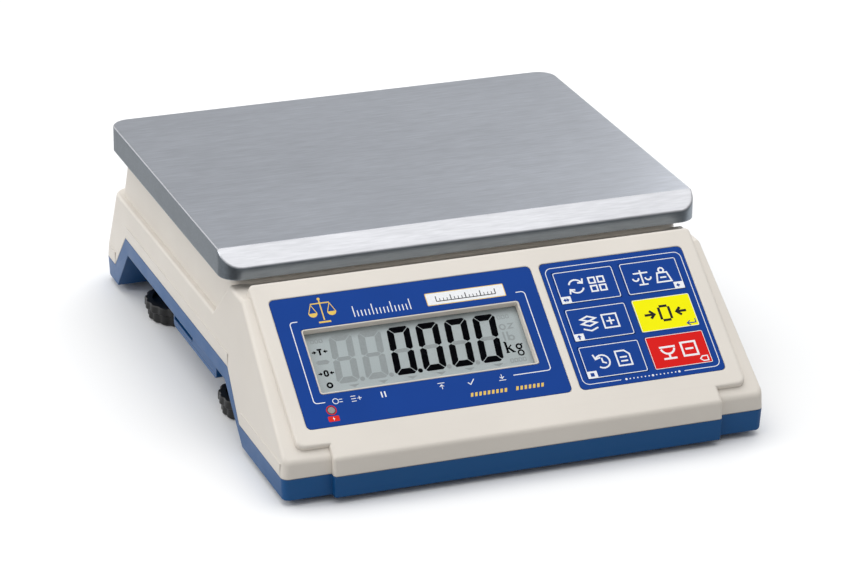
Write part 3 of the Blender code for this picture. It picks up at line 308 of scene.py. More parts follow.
def circuit_board(name):
    """Green solder mask with copper tracks under it."""
    green, track = (0.012, 0.11, 0.035, 1), (0.035, 0.24, 0.08, 1)
    material, tree, shader, place = start_material(name, green[:3], 0.35)
    inputs = {"Vector": place, "Color1": green, "Color2": green, "Mortar": track, "Scale": 1.0}
    inputs.update({"Mortar Size": 0.35 * MM, "Brick Width": 9 * MM, "Row Height": 2.2 * MM})
    grid = add(tree, "ShaderNodeTexBrick", inputs)
    tree.links.new(grid.outputs["Color"], shader.inputs["Base Color"])
    weave = noise(tree, place, 2500, 2)
    tree.links.new(bump(tree, weave, 0.02 * MM, 0.3), shader.inputs["Normal"])
    return material


def display_glass(name):
    """The display's reflective back: grey-green, faintly sparkling, with a painted shadow of the window frame
    darkening it along three edges.
    """
    colour = (0.74, 0.785, 0.79)
    material, tree, shader, place = start_material(name, colour, 0.38)
    sparkle = spread(tree, noise(tree, place, 5200, 2), 0.94, 1.05)
    cloud = spread(tree, noise(tree, place, 14, 2), 0.975, 1.02)
    low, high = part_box("lcd_module")
    down = {0: place, 1: tuple(PANEL_DOWN)}
    depth = add(tree, "ShaderNodeVectorMath", down, operation="DOT_PRODUCT").outputs["Value"]
    across = add(tree, "ShaderNodeSeparateXYZ", {0: place}).outputs["X"]
    frame_width = 3.4 * MM
    top, left, right = PANEL_DOWN.dot(panel_point(0, WINDOW_TOP)), low.x, high.x
    # Painted shadow of the window frame: darkest along the top edge, lighter along the right and left edges.
    edges = (
        ranged(tree, depth, top, top + 7 * MM, 0.70, 1.0, True),
        ranged(tree, across, right - frame_width, right - 7 * MM, 0.90, 1.0, True),
        ranged(tree, across, left + frame_width, left + 14 * MM, 0.86, 1.0, True),
    )
    shade = product(tree, sparkle, cloud, *edges)
    tree.links.new(tinted(tree, colour, shade), shader.inputs["Base Color"])
    return material


def clear_lens(name):
    """A window with an anti-glare coat: it mirrors only at a low slant."""
    material = bpy.data.materials.new(name)
    material.use_nodes = True
    tree = material.node_tree
    tree.nodes.remove(tree.nodes["Principled BSDF"])
    place = add(tree, "ShaderNodeTexCoord").outputs["Object"]
    smudge = spread(tree, noise(tree, place, 45, 3), 0.03, 0.10)
    slant = add(tree, "ShaderNodeFresnel", {"IOR": 1.45}).outputs[0]
    held_back = {0: slant, 1: 0.075}
    fresnel = add(tree, "ShaderNodeMath", held_back, operation="SUBTRACT", use_clamp=True).outputs[0]
    gloss = add(tree, "ShaderNodeBsdfGlossy", {"Roughness": smudge}).outputs[0]
    through = add(tree, "ShaderNodeBsdfTransparent", {"Color": (0.97, 0.98, 0.98, 1)}).outputs[0]
    both = add(tree, "ShaderNodeMixShader", {0: fresnel, 1: through, 2: gloss}).outputs[0]
    tree.links.new(both, tree.nodes["Material Output"].inputs["Surface"])
    return material


def tinted_liquid(name):
    """The level's green liquid under its clear lid."""
    colour = (0.42, 0.74, 0.06)
    material, tree, shader, place = start_material(name, colour, 0.12, coat=1.0)
    depth = spread(tree, noise(tree, place, 160, 2), 0.9, 1.08)
    tree.links.new(tinted(tree, colour, depth), shader.inputs["Base Color"])
    shader.inputs["Transmission Weight"].default_value = 0.25
    return material


CREAM, BLUE, PRINTED_BLUE = (0.785, 0.73, 0.657), (0.005, 0.090, 0.275), (0.007, 0.055, 0.30)

MATERIALS = {
    "stainless": brushed_stainless("brushed_stainless"),
    "cast_aluminium": cast_metal("cast_aluminium_look", (0.62, 0.63, 0.64)),
    "steel": machined_metal("zinc_steel_look", (0.55, 0.56, 0.58), 0.38),
    "cream_plastic": moulded_plastic("cream_plastic_look", CREAM, 0.33, 1.0, 1.2 * MM),
    "blue_plastic": moulded_plastic("blue_plastic_look", BLUE, 0.33, 1.0, 1.0 * MM, 0.42),
    "label_blue": printed_film("label_film_blue", PRINTED_BLUE),
    "key_yellow": printed_film("label_film_yellow", (1.0, 0.95, 0.0)),
    "key_red": printed_film("label_film_red", (0.75, 0.012, 0.010)),
    "clear_window": clear_lens("clear_window_look"),
    "lcd_glass": display_glass("display_glass_look"),
    "lamp_lens": moulded_plastic("lamp_lens_look", (0.27, 0.26, 0.26), 0.25, 0.2),
    "circuit_board": circuit_board("circuit_board_look"),
    "grey_plastic": moulded_plastic("grey_plastic_look", (0.12, 0.12, 0.125), 0.45),
    "black_plastic": moulded_plastic("black_plastic_look", (0.012, 0.012, 0.012), 0.38, 0.8, 0.4 * MM),
    "rubber": rubber("rubber_look"),
    "battery_case": moulded_plastic("battery_case_look", (0.05, 0.05, 0.055), 0.5),
    "lead_red": moulded_plastic("red_insulation_look", (0.55, 0.012, 0.010), 0.4, 0.3),
    "level_liquid": tinted_liquid("level_liquid_look"),
}
INK_WHITE = ink("ink_white", (0.93, 0.94, 0.96))
INK_BLACK = ink("ink_black", (0.008, 0.008, 0.010), 0.3)
LCD_BLACK = ink("display_black", (0.006, 0.006, 0.008), 1.0, 0.0, 0.0)
LCD_GHOST = ink("display_unlit_segments", (0.575, 0.60, 0.605), 1.0, 0.0, 0.0)
INK_GOLD = ink("ink_gold", (0.80, 0.55, 0.12), 0.4, 0.15)
INK_RED = ink("ink_red", (0.80, 0.02, 0.01))
INK_BLUE = ink("ink_blue", PRINTED_BLUE)
INK_BUBBLE = ink("level_bubble_look", (0.75, 0.95, 0.45), 0.08)


# ---------------------------------------------------------------- CAD nodes


def smooth_group():
    """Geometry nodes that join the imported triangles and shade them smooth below 32 degrees."""
    group = bpy.data.node_groups.new("smooth_by_angle", "GeometryNodeTree")
    group.interface.new_socket("Geometry", in_out="INPUT", socket_type="NodeSocketGeometry")
    group.interface.new_socket("Geometry", in_out="OUTPUT", socket_type="NodeSocketGeometry")
    source = add(group, "NodeGroupInput").outputs[0]
    merged = add(group, "GeometryNodeMergeByDistance", {"Geometry": source, "Distance": 0.002 * MM})
    angle = add(group, "GeometryNodeInputMeshEdgeAngle").outputs["Unsigned Angle"]
    limit = {"A": angle, "B": math.radians(32)}
    gentle = add(group, "FunctionNodeCompare", limit, operation="LESS_THAN").outputs[0]
    faces = add(group, "GeometryNodeSetShadeSmooth", {"Geometry": merged.outputs[0]}, domain="FACE")
    inputs = {"Geometry": faces.outputs[0], "Shade Smooth": gentle}
    edges = add(group, "GeometryNodeSetShadeSmooth", inputs, domain="EDGE")
    finish = add(group, "NodeGroupOutput")
    group.links.new(edges.outputs[0], finish.inputs[0])
    return group


def dress_nodes():
    """Gives each CAD node its material and smooth shading."""
    group = smooth_group()
    slots = {row["node"]: row["material_slot"] for row in frame["record"]["subparts"]}
    for name, node in NODES.items():
        normals = node.data.attributes.get("custom_normal")
        if normals:
            node.data.attributes.remove(normals)
        smoothing = node.modifiers.new("smooth", "NODES")
        smoothing.node_group = group
        weighting = node.modifiers.new("weighted", "WEIGHTED_NORMAL")
        weighting.keep_sharp = True
        material = MATERIALS[slots[name]]
        for slot in node.material_slots:
            slot.material = material


# ---------------------------------------------------------------- ink shapes


def arc(centre, radius, start, end, steps=6):
    """Points round an arc; degrees, 0 to the right and 90 down the slope."""
    points = []
    for step in range(steps + 1):
        angle = math.radians(start + (end - start) * step / steps)
        points.append((centre[0] + radius * math.cos(angle), centre[1] + radius * math.sin(angle)))
    return points


def circle(centre, radius, steps):
    """Points all the way round a circle."""
    return arc(centre, radius, 0, 360 - 360 / steps, steps - 1)


def round_box(low, high, radius, steps=4):
    """A box with rounded corners."""
    (x0, y0), (x1, y1) = low, high
    return (
        arc((x1 - radius, y0 + radius), radius, -90, 0, steps)
        + arc((x1 - radius, y1 - radius), radius, 0, 90, steps)
        + arc((x0 + radius, y1 - radius), radius, 90, 180, steps)
        + arc((x0 + radius, y0 + radius), radius, 180, 270, steps)
    )


SHARPEST_MITRE = 0.35  # cosine of half the turn


class Print:
    """Ink on the panel: flat shapes in panel millimetres, a few hundredths of a millimetre thick."""

    def __init__(self, name, body, material, base=0.0, slot="label_blue"):
        self.name, self.body, self.material, self.slot = name, body, material, slot
        self.base = base
        self.count = 0
        self.bm = bmesh.new()

    def next_top(self):
        """The height of the next shape's face."""
        self.count += 1
        return self.base + INK + INK_STEP * self.count

    def patch(self, outline):
        """A filled shape."""
        top = self.next_top()
        upper = [self.bm.verts.new(panel_point(x, y, top)) for x, y in outline]
        lower = [self.bm.verts.new(panel_point(x, y, self.base)) for x, y in outline]
        self.bm.faces.new(upper)
        self.bm.faces.new(lower[::-1])
        for i, vert in enumerate(upper):
            self.bm.faces.new((upper[i - 1], lower[i - 1], lower[i], vert))

    def band(self, outer, inner, closed):
        """The strip between two matching rows of points."""
        top = self.next_top()
        rows = []
        for row in (outer, inner):
            for height in (top, self.base):
                rows.append([self.bm.verts.new(panel_point(x, y, height)) for x, y in row])
        out_top, out_low, in_top, in_low = rows
        spans = range(0 if closed else 1, len(outer))
        for i in spans:
            j = i - 1
            self.bm.faces.new((out_top[j], out_top[i], in_top[i], in_top[j]))
            self.bm.faces.new((out_low[i], out_low[j], in_low[j], in_low[i]))
            self.bm.faces.new((out_top[i], out_top[j], out_low[j], out_low[i]))
            self.bm.faces.new((in_top[j], in_top[i], in_low[i], in_low[j]))
        if not closed:
            for i in (0, -1):
                self.bm.faces.new((out_top[i], in_top[i], in_low[i], out_low[i]))

    def line(self, points, width, closed=False):
        """A stroke along the points with mitred corners; a very sharp mitre is cut short."""
        points = [Vector(point) for point in points]
        outer, inner = [], []
        last = len(points) - 1
        for i, point in enumerate(points):
            before = points[i - 1] if closed or i else None
            after = points[(i + 1) % len(points)] if closed or i < last else None
            tangents = []
            if before is not None:
                tangents.append((point - before).normalized())
            if after is not None:
                tangents.append((after - point).normalized())
            sides = [Vector((-t.y, t.x)) for t in tangents]
            middle = sum(sides, Vector((0, 0))).normalized()
            reach = width / 2 / max(SHARPEST_MITRE, middle.dot(sides[0]))
            outer.append(tuple(point + middle * reach))
            inner.append(tuple(point - middle * reach))
        self.band(outer, inner, closed)

    def disc(self, centre, radius, steps=20):
        """A filled circle."""
        self.patch(circle(centre, radius, steps))

    def ring(self, centre, radius, width, steps=24):
        """A stroke round a circle."""
        self.line(circle(centre, radius, steps), width, True)

    def finish(self):
        """Makes one piece of the shapes, which rides on the body."""
        bmesh.ops.recalc_face_normals(self.bm, faces=self.bm.faces)
        mesh = bpy.data.meshes.new(self.name)
        self.bm.to_mesh(mesh)
        self.bm.free()
        piece = bpy.data.objects.new(self.name, mesh)
        bpy.context.scene.collection.objects.link(piece)
        mesh.materials.append(self.material)
        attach(piece, self.body)


def mapped(points, origin, size):
    """Points drawn on a 10 by 10 grid, moved to origin and scaled so that 10 steps are size."""
    return [(origin[0] + x * size / 10, origin[1] + y * size / 10) for x, y in points]


# ---------------------------------------------------------------- label art

LINE, THIN_LINE = 0.55, 0.45
BRACKET_TOP, BRACKET_RADIUS = 16.3, 2.0
SIGN_TOP, SIGN_SIZE, SIGN_LINE = 69.0, 4.2, 0.42
SIGNS = (
    # distance from the window's left end, width of line, strokes on a 10 by 10 grid
    (4.5, SIGN_LINE, ([(9, 3), (14, 3)], [(9, 7), (14, 7)])),
    (15.6, SIGN_LINE, ([(0, 1), (7, 1)], [(0, 5), (7, 5)], [(0, 9), (7, 9)])),
    (15.6, SIGN_LINE, ([(9, 5), (15, 5)], [(12, 2), (12, 8)])),
    (34.1, 0.8, ([(0, 0.5), (0, 9.5)], [(5, 0.5), (5, 9.5)])),
    (68.6, SIGN_LINE, ([(0, 0.5), (10, 0.5)], [(5, 10), (5, 3)], [(2, 6), (5, 3), (8, 6)])),
    (86.6, LINE, ([(0, 5.5), (3.5, 9), (10, 1)],)),
    (105.6, SIGN_LINE, ([(0, 9.5), (10, 9.5)], [(5, 0), (5, 7)], [(2, 4), (5, 7), (8, 4)])),
)


def bracket(edge, way, start, end, bottom):
    """An open frame: along the top from start, down at edge, and along the bottom to end."""
    turns = (-90, 0, 90) if way > 0 else (270, 180, 90)
    centre = edge - way * BRACKET_RADIUS
    upper, lower = (centre, BRACKET_TOP + BRACKET_RADIUS), (centre, bottom - BRACKET_RADIUS)
    points = [(start, BRACKET_TOP), *arc(upper, BRACKET_RADIUS, *turns[:2])]
    return points + [*arc(lower, BRACKET_RADIUS, *turns[1:]), (end, bottom)]


def bracket_lines():
    """The open frames at both sides of the display, and the row of small signs under it."""
    lines = Print("display_label_lines", "body", INK_WHITE)
    lines.line(bracket(WINDOW_LEFT - 6.5, -1, WINDOW_LEFT - 1.7, WINDOW_LEFT, 71.0), LINE)
    lines.line(bracket(WINDOW_RIGHT + 6.7, 1, WINDOW_RIGHT + 1.3, WINDOW_RIGHT - 16.8, 70.8), LINE)
    signs(lines)
    lines.finish()


def signs(lines):
    """Signs for steady, total, hold, upper limit, in range and lower limit."""
    lines.ring((WINDOW_LEFT + 6.2, SIGN_TOP + SIGN_SIZE / 2), 1.7, SIGN_LINE, 16)
    for place, width, strokes in SIGNS:
        for stroke in strokes:
            lines.line(mapped(stroke, (WINDOW_LEFT + place, SIGN_TOP), SIGN_SIZE), width)


def header_ornament():
    """A plain graduation between the emblem and the sticker."""
    lines = Print("display_label_graduation", "body", INK_WHITE)
    left, base, pitch = LABEL_LEFT + 48.0, 18.0, 2.3
    for i in range(16):
        x = left + pitch * i
        height = 7.2 if i % 5 == 0 else 4.0
        lines.line([(x, base - height), (x, base)], 0.6)
    lines.finish()


def balance_emblem():
    """A plain pair-of-scales sign in gold."""
    gold = Print("display_label_emblem", "body", INK_GOLD)
    origin, size = (LABEL_LEFT + 23.0, 3.0), 13.0
    for stroke, width in (
        ([(5, 0), (5, 11)], 0.75),
        ([(0.6, 2.2), (9.4, 2.2)], 0.75),
        ([(2.2, 12), (7.8, 12)], 1.1),
    ):
        gold.line(mapped(stroke, origin, size), width)
    for x in (0.6, 9.4):
        gold.line(mapped([(x - 1.9, 7), (x, 2.6), (x + 1.9, 7)], origin, size), 0.45)
        gold.patch(mapped(arc((x, 7), 2.1, 180, 0, 8), origin, size))
    gold.disc(mapped([(5, 0)], origin, size)[0], 0.9, 16)
    gold.finish()


def gold_ornament():
    """Two rows of slanted bars under the display."""
    gold = Print("display_label_gold_bars", "body", INK_GOLD)
    top, bottom, width, lean, pitch = 78.4, 80.9, 1.5, 0.8, 2.6
    for start, count in ((100.5, 9), (128.5, 7)):
        for i in range(count):
            x = LABEL_LEFT + start + pitch * i
            gold.patch(
                [(x + lean, top), (x + lean + width, top), (x + width, bottom), (x, bottom)]
            )
    gold.finish()


def inset_box(low, high, inset, radius):
    """A rounded box that lies inset within its corners."""
    return round_box((low[0] + inset, low[1] + inset), (high[0] - inset, high[1] - inset), radius)


def capacity_sticker():
    """A small white sticker with a gold rim and a plain ruler on it."""
    low, high = (LABEL_LEFT + 92.9, 9.1), (LABEL_LEFT + 141.9, 17.7)
    rim = Print("capacity_sticker_rim", "body", INK_GOLD)
    rim.patch(round_box(low, high, 0.7))
    rim.finish()
    layer = INK + INK_STEP
    paper = Print("capacity_sticker", "body", INK_WHITE, layer)
    paper.patch(inset_box(low, high, 0.45, 0.5))
    paper.finish()
    marks = Print("capacity_sticker_ruler", "body", INK_BLACK, 2 * layer)
    left, base, pitch, ticks = LABEL_LEFT + 99.0, 15.3, 2.3, 17
    marks.line([(left, base), (left + pitch * (ticks - 1), base)], 0.5)
    for i in range(ticks):
        x = left + pitch * i
        height, width = (3.6, 0.55) if i % 4 == 0 else (2.0, 0.4)
        marks.line([(x, base - height), (x, base)], width)
    marks.finish()


def lamp_signs():
    """The red ring round the charge lamp and the red battery sign under it."""
    red = Print("charge_lamp_ring", "body", INK_RED)
    x = sum(panel_sides("charge_lamp")) / 2
    red.ring((x, 76.5), 2.85, 0.5)
    red.patch(round_box((x - 3.3, 80.4), (x + 3.3, 83.9), 0.5))
    red.finish()
    bolt = Print("charge_lamp_bolt", "body", INK_WHITE, INK + 3 * INK_STEP)
    grid = [(5.6, 0), (2.6, 5.6), (4.8, 5.6), (4.2, 10), (7.4, 4.2), (5.2, 4.2)]
    bolt.patch(mapped(grid, (x - 1.4, 80.75), 2.8))
    bolt.finish()


# ---------------------------------------------------------------- keypad art


# A key's box reaches past its face by the part of its thickness that the slope adds.
KEY_BOX_ABOVE, KEY_BOX_BELOW = 0.4, 0.6


def key_rect(name):
    """(u low, v low), (u high, v high) of a key's face."""
    low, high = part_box(name)
    top = (high.z - LABEL_TOP.z) / PANEL_DOWN.z / MM
    bottom = (low.z - LABEL_TOP.z) / PANEL_DOWN.z / MM
    return (low.x / MM, top + KEY_BOX_ABOVE), (high.x / MM, bottom - KEY_BOX_BELOW)


def keypad_frame():
    """The line round the keys, open at the bottom where a row of dots stands."""
    lines = Print("keypad_frame_line", "body", INK_WHITE)
    x0, x1, y0, y1 = KEYPAD_LEFT + 2.6, KEYPAD_RIGHT - 2.2, 3.5, 84.0
    radius = 4.0
    points = [(KEYPAD_RIGHT - 25.6, y1), *arc((x1 - radius, y1 - radius), radius, 90, 0)]
    points += arc((x1 - radius, y0 + radius), radius, 0, -90)
    points += arc((x0 + radius, y0 + radius), radius, 270, 180)
    points += [*arc((x0 + radius, y1 - radius), radius, 180, 90), (KEYPAD_LEFT + 25.9, y1)]
    lines.line(points, THIN_LINE)
    for i in range(15):
        lines.disc((KEYPAD_LEFT + 29.2 + 2.4 * i, y1), 0.75 if i % 7 == 0 else 0.45, 10)
    lines.finish()


def two_signs(name, left, right, material=INK_WHITE, width=1.0):
    """A print of two signs side by side on a key; each is a list of (points, closed)."""
    low, high = key_rect(name)
    centre = ((low[0] + high[0]) / 2, (low[1] + high[1]) / 2)
    size, apart = 11.0, 2.4
    art = Print(name + "_signs", name, material, KEY_RISE)
    for shift, strokes in ((-size - apart / 2, left), (apart / 2, right)):
        origin = (centre[0] + shift, centre[1] - size / 2)
        for points, closed in strokes:
            art.line(mapped(points, origin, size), width, closed)
    return art


def outlined_key(name, left, right, corner, corner_right=False):
    """A blue key: white outline, two signs and a small white square with a blue mark."""
    art = two_signs(name, left, right)
    low, high = key_rect(name)
    art.line(inset_box(low, high, 0.55, 1.0), THIN_LINE, True)
    width, height = 6.2, 4.8
    x0 = high[0] - 0.4 - width if corner_right else low[0] + 0.4
    y0 = high[1] - 0.3 - height
    art.patch([(x0, y0), (x0 + width, y0), (x0 + width, y0 + height), (x0, y0 + height)])
    art.finish()
    mark = Print(name + "_corner_mark", name, INK_BLUE, KEY_RISE + INK + 20 * INK_STEP)
    for points in corner:
        mark.patch([(x0 + width / 2 + x, y0 + height / 2 + y) for x, y in points])
    mark.finish()


# Marks for the small squares, round their middle.
ARROW_LEFT = [(-2.0, 0), (-0.4, -1.4), (-0.4, -0.5), (0.4, -0.5), (0.4, 0.5), (-0.4, 0.5), (-0.4, 1.4)]
ARROW_RIGHT = [(-x, y) for x, y in ARROW_LEFT[::-1]]
ARROW_UP = [(0, -1.7), (1.5, -0.1), (0.5, -0.1), (0.5, 1.5), (-0.5, 1.5), (-0.5, -0.1), (-1.5, -0.1)]
SQUARE = [(-1.2, -1.2), (1.2, -1.2), (1.2, 1.2), (-1.2, 1.2)]


def mode_signs():
    """Turning arrows, and a square of four."""
    turning = [
        (arc((5, 5), 4.1, 200, 330, 8), False),
        (arc((5, 5), 4.1, 20, 150, 8), False),
        ([(9.6, 0.6), (8.9, 3.4), (6.2, 2.9)], False),
        ([(0.4, 9.4), (1.1, 6.6), (3.8, 7.1)], False),
    ]
    side = 3.4
    four = []
    for x in (0.8, 6):
        for y in (0.8, 6):
            four.append(([(x, y), (x + side, y), (x + side, y + side), (x, y + side)], True))
    return turning, four


def unit_signs():
    """A pair of scales, and a weight."""
    scales = [
        ([(5, 0.4), (5, 9.4)], False),
        ([(0.8, 2.2), (9.2, 2.2)], False),
        ([(2.4, 9.5), (7.6, 9.5)], False),
        (arc((1.4, 5.2), 1.7, 180, 0, 6), False),
        (arc((8.6, 5.2), 1.7, 180, 0, 6), False),
    ]
    weight = [
        ([(2.2, 3.6), (7.8, 3.6), (9.2, 9.4), (0.8, 9.4)], True),
        (arc((5, 2.0), 1.5, 0, 315, 7), True),
        ([(3.2, 6.6), (6.8, 6.6)], False),
    ]
    return scales, weight


def accumulate_signs():
    """A stack, and a plus in a square."""
    stack = [([(0.8, y), (5, y - 1.6), (9.2, y), (5, y + 1.6)], True) for y in (2.1, 5.0)]
    stack.append(([(0.8, 8.0), (5, 9.6), (9.2, 8.0)], False))
    plus = [
        ([(0.9, 0.9), (9.1, 0.9), (9.1, 9.1), (0.9, 9.1)], True),
        ([(5, 2.7), (5, 7.3)], False),
        ([(2.7, 5), (7.3, 5)], False),
    ]
    return stack, plus


def recall_signs():
    """A returning arrow, and a page."""
    back = [
        (arc((5, 5.4), 4.0, -150, 130, 12), False),
        ([(0.6, 0.6), (1.4, 3.6), (4.4, 2.8)], False),
        ([(5, 3.2), (5, 5.8), (7.0, 6.6)], False),
    ]
    page = [
        ([(1.2, 0.5), (6.4, 0.5), (8.8, 2.9), (8.8, 9.5), (1.2, 9.5)], True),
        ([(3.0, 4.4), (7.0, 4.4)], False),
        ([(3.0, 6.8), (7.0, 6.8)], False),
    ]
    return back, page


def zero_signs():
    """Two arrows that point at a nought between them, drawn from straight strokes."""
    left = [
        ([(-1.0, 5), (4.4, 5)], False),
        ([(2.2, 2.6), (4.6, 5), (2.2, 7.4)], False),
        ([(8.0, 1.2), (8.0, 8.8)], False),
        ([(8.6, 0.6), (13.2, 0.6)], False),
        ([(13.8, 1.2), (13.8, 8.8)], False),
        ([(8.6, 9.4), (13.2, 9.4)], False),
    ]
    right = [
        ([(11.0, 5), (5.6, 5)], False),
        ([(7.8, 2.6), (5.4, 5), (7.8, 7.4)], False),
    ]
    return left, right


def tare_signs():
    """A bowl on a foot, and a minus in a square."""
    bowl = [
        ([(0.4, 2.2), (9.6, 2.2)], False),
        (arc((5, 2.6), 3.9, 170, 10, 8), False),
        ([(1.2, 9.4), (8.8, 9.4)], False),
        ([(5, 6.8), (5, 9.2)], False),
    ]
    minus = [
        ([(0.9, 0.9), (9.1, 0.9), (9.1, 9.1), (0.9, 9.1)], True),
        ([(2.7, 5), (7.3, 5)], False),
    ]
    return bowl, minus


def solid_key(name, left, right, material, mark, mark_material, width=1.25):
    """A yellow or red key: a pale rim, two signs and a small mark in the corner."""
    two_signs(name, left, right, material, width).finish()
    low, high = key_rect(name)
    rim = Print(name + "_rim", name, INK_WHITE, KEY_RISE)
    rim.line(inset_box(low, high, 0.2, 0.7), 0.35, True)
    rim.finish()
    corner = Print(name + "_corner_mark", name, mark_material, KEY_RISE)
    centre = (high[0] - 4.6, high[1] - 3.2)
    for points, closed in mark:
        corner.line([(centre[0] + x, centre[1] + y) for x, y in points], 0.7, closed)
    corner.finish()


def key_art():
    """Prints the signs on the six keys."""
    outlined_key("key_mode", *mode_signs(), [ARROW_LEFT, ARROW_RIGHT])
    outlined_key("key_unit", *unit_signs(), [ARROW_LEFT], True)
    outlined_key("key_accumulate", *accumulate_signs(), [ARROW_UP])
    outlined_key("key_recall", *recall_signs(), [SQUARE])
    enter = [
        ([(3.0, -1.6), (3.0, 1.0), (-2.4, 1.0)], False),
        ([(-0.6, -0.6), (-2.6, 1.0), (-0.6, 2.6)], False),
    ]
    solid_key("key_zero", *zero_signs(), INK_BLACK, enter, INK_BLUE, 1.6)
    erase = [([(-2.4, 0), (-0.8, -1.6), (2.4, -1.6), (2.4, 1.6), (-0.8, 1.6)], True)]
    solid_key("key_tare", *tare_signs(), INK_WHITE, erase, INK_WHITE)


# ---------------------------------------------------------------- display

DIGIT_WIDTH, DIGIT_HEIGHT = 13.9, 32.0
DIGIT_PITCH = 17.7
DIGIT_SLANT = 0.1
SEGMENT = 4.0  # a segment's width
POINT_RADIUS = 1.45
FIRST_DIGIT, DIGITS_TOP = WINDOW_LEFT + 12.3, 25.4
DIGITS, FIRST_LIT = 6, 2


def segments():
    """Outlines of the seven segments a to g in a digit's own box."""
    w, h, t = DIGIT_WIDTH, DIGIT_HEIGHT, SEGMENT
    gap, cut, tip = 0.15, 2.2, 0.18
    top = [
        (cut / 2 + gap, cut / 2 - gap),
        (cut, 0),
        (w - cut, 0),
        (w - cut / 2 - gap, cut / 2 - gap),
        (w - t - 2 * gap, t),
        (t + 2 * gap, t),
    ]
    side = [
        (cut / 2 - gap, cut / 2 + gap),
        (t, t + 2 * gap),
        (t, h / 2 - 0.42 * t),
        (0.42 * t, h / 2 - tip),
        (0, h / 2 - 0.3 * t),
        (0, cut),
    ]
    half = 1.25
    middle = [
        (t / 2 + 2 * tip, h / 2),
        (t / 2 + 2 * tip + half, h / 2 - half),
        (w - t / 2 - 2 * tip - half, h / 2 - half),
        (w - t / 2 - 2 * tip, h / 2),
        (w - t / 2 - 2 * tip - half, h / 2 + half),
        (t / 2 + 2 * tip + half, h / 2 + half),
    ]

    def flip_x(points):
        return [(w - x, y) for x, y in points[::-1]]

    def flip_y(points):
        return [(x, h - y) for x, y in points[::-1]]

    right = flip_x(side)
    return {
        "a": top,
        "b": right,
        "c": flip_y(right),
        "d": flip_y(top),
        "e": flip_y(side),
        "f": side,
        "g": middle,
    }


def slanted(points, index):
    """Points of a digit's box moved to a place on the display, leaning to the right."""
    left = FIRST_DIGIT + DIGIT_PITCH * index
    return [(left + x + DIGIT_SLANT * (DIGIT_HEIGHT - y), DIGITS_TOP + y) for x, y in points]


def display_segments():
    """Two unlit digits, then 0.000; unlit segments, points and pointers are faintly visible."""
    lit = Print("display_segments_lit", "body", LCD_BLACK, LCD_DEPTH, "lcd_glass")
    ghost = Print("display_segments_unlit", "body", LCD_GHOST, LCD_DEPTH, "lcd_glass")
    shapes = segments()
    for index in range(DIGITS):
        for letter, outline in shapes.items():
            shown = index >= FIRST_LIT and letter in "abcdef"
            (lit if shown else ghost).patch(slanted(outline, index))
    for index in range(DIGITS - 1):
        point = slanted([(DIGIT_WIDTH + 1.5, DIGIT_HEIGHT - 1.2)], index)[0]
        (lit if index == FIRST_LIT else ghost).disc(point, POINT_RADIUS)
    width, height, top = 6.5, 1.9, 59.0
    for index in range(DIGITS):
        x = FIRST_DIGIT + DIGIT_PITCH * index + 6.4
        ghost.patch([(x, top), (x + width, top), (x + width / 2, top + height)])
    side_signs(lit, ghost)
    unit_sign(lit)
    ghost_units(ghost)
    lit.finish()
    ghost.finish()


def side_signs(lit, ghost):
    """Signs down the display's left side: tare, minus, zero and steady."""
    x = WINDOW_LEFT + 7.7
    tare, minus, zero, steady = 35.0, 42.0, 49.5, 57.5
    for y in (tare, zero):
        for way in (-1, 1):
            lit.line([(x + way * 4.7, y), (x + way * 3.2, y)], 0.8)
            tip, back = x + way * 2.0, x + way * 3.6
            lit.patch([(tip, y), (back, y - 1.2), (back, y + 1.2)])
    lit.line([(x - 1.4, tare - 1.6), (x + 1.4, tare - 1.6)], 1.0)
    lit.line([(x, tare - 1.4), (x, tare + 2.2)], 1.1)
    lit.line(round_box((x - 1.0, zero - 1.7), (x + 1.0, zero + 1.7), 0.9), 1.0, True)
    lit.ring((x, steady), 1.45, 1.1)
    half = [(x - 4.2, minus), (x - 2.8, minus - 1.4), (x + 2.8, minus - 1.4)]
    ghost.patch(half + [(x + 4.2, minus), (x + 2.8, minus + 1.4), (x - 2.8, minus + 1.4)])


def ghost_units(ghost):
    """The unlit signs for ounce and pound, and rows of small unlit blocks in three corners."""
    x = WINDOW_RIGHT - 13.3
    ghost.ring((x + 1.8, 35.2), 1.7, 0.9, 16)
    ghost.line(mapped([(0, 2), (8, 2), (0, 9.5), (8, 9.5)], (x + 5.2, 32.8), 4), 0.8)
    for upright in (1.0, 3.4):
        ghost.line([(x + upright, 38.6), (x + upright, 44.6)], 1.1)
    ghost.ring((x + 5.3, 43.0), 1.5, 1.0, 16)
    for left, top, count in ((x, 57.2, 4), (x + 0.6, 27.4, 3), (WINDOW_LEFT + 4.2, 26.6, 3)):
        for i in range(count):
            low = (left + 2.6 * i, top)
            ghost.line(round_box(low, (low[0] + 1.7, top + 2.2), 0.3, 2), 0.5, True)


def unit_sign(lit):
    """The kilogram sign, at the right of the digits."""
    x, base, thin, thick = WINDOW_RIGHT - 14.1, 52.6, 0.75, 1.3
    lit.line([(x + 1, base - 7.2), (x + 1, base)], thick)
    lit.line([(x + 1.2, base - 2.2), (x + 4.2, base - 4.8)], thin)
    lit.line([(x + 2.2, base - 2.9), (x + 4.6, base)], thick)
    lit.line([(x, base), (x + 2.1, base)], thin)
    lit.line([(x + 3.6, base), (x + 5.7, base)], thin)
    lit.line([(x, base - 7.1), (x + 1.0, base - 7.1)], thin)
    bowl = (x + 8.6, base - 3.1)
    lit.line(arc(bowl, 1.55, 0, 345, 15), 1.0, True)
    lit.line(arc((bowl[0] + 0.1, base + 1.2), 1.7, -90, 240, 12), 0.85, True)
    lit.line([(bowl[0] + 1.2, bowl[1] - 1.2), (bowl[0] + 2.5, bowl[1] - 1.6)], 0.8)


# ---------------------------------------------------------------- small detail


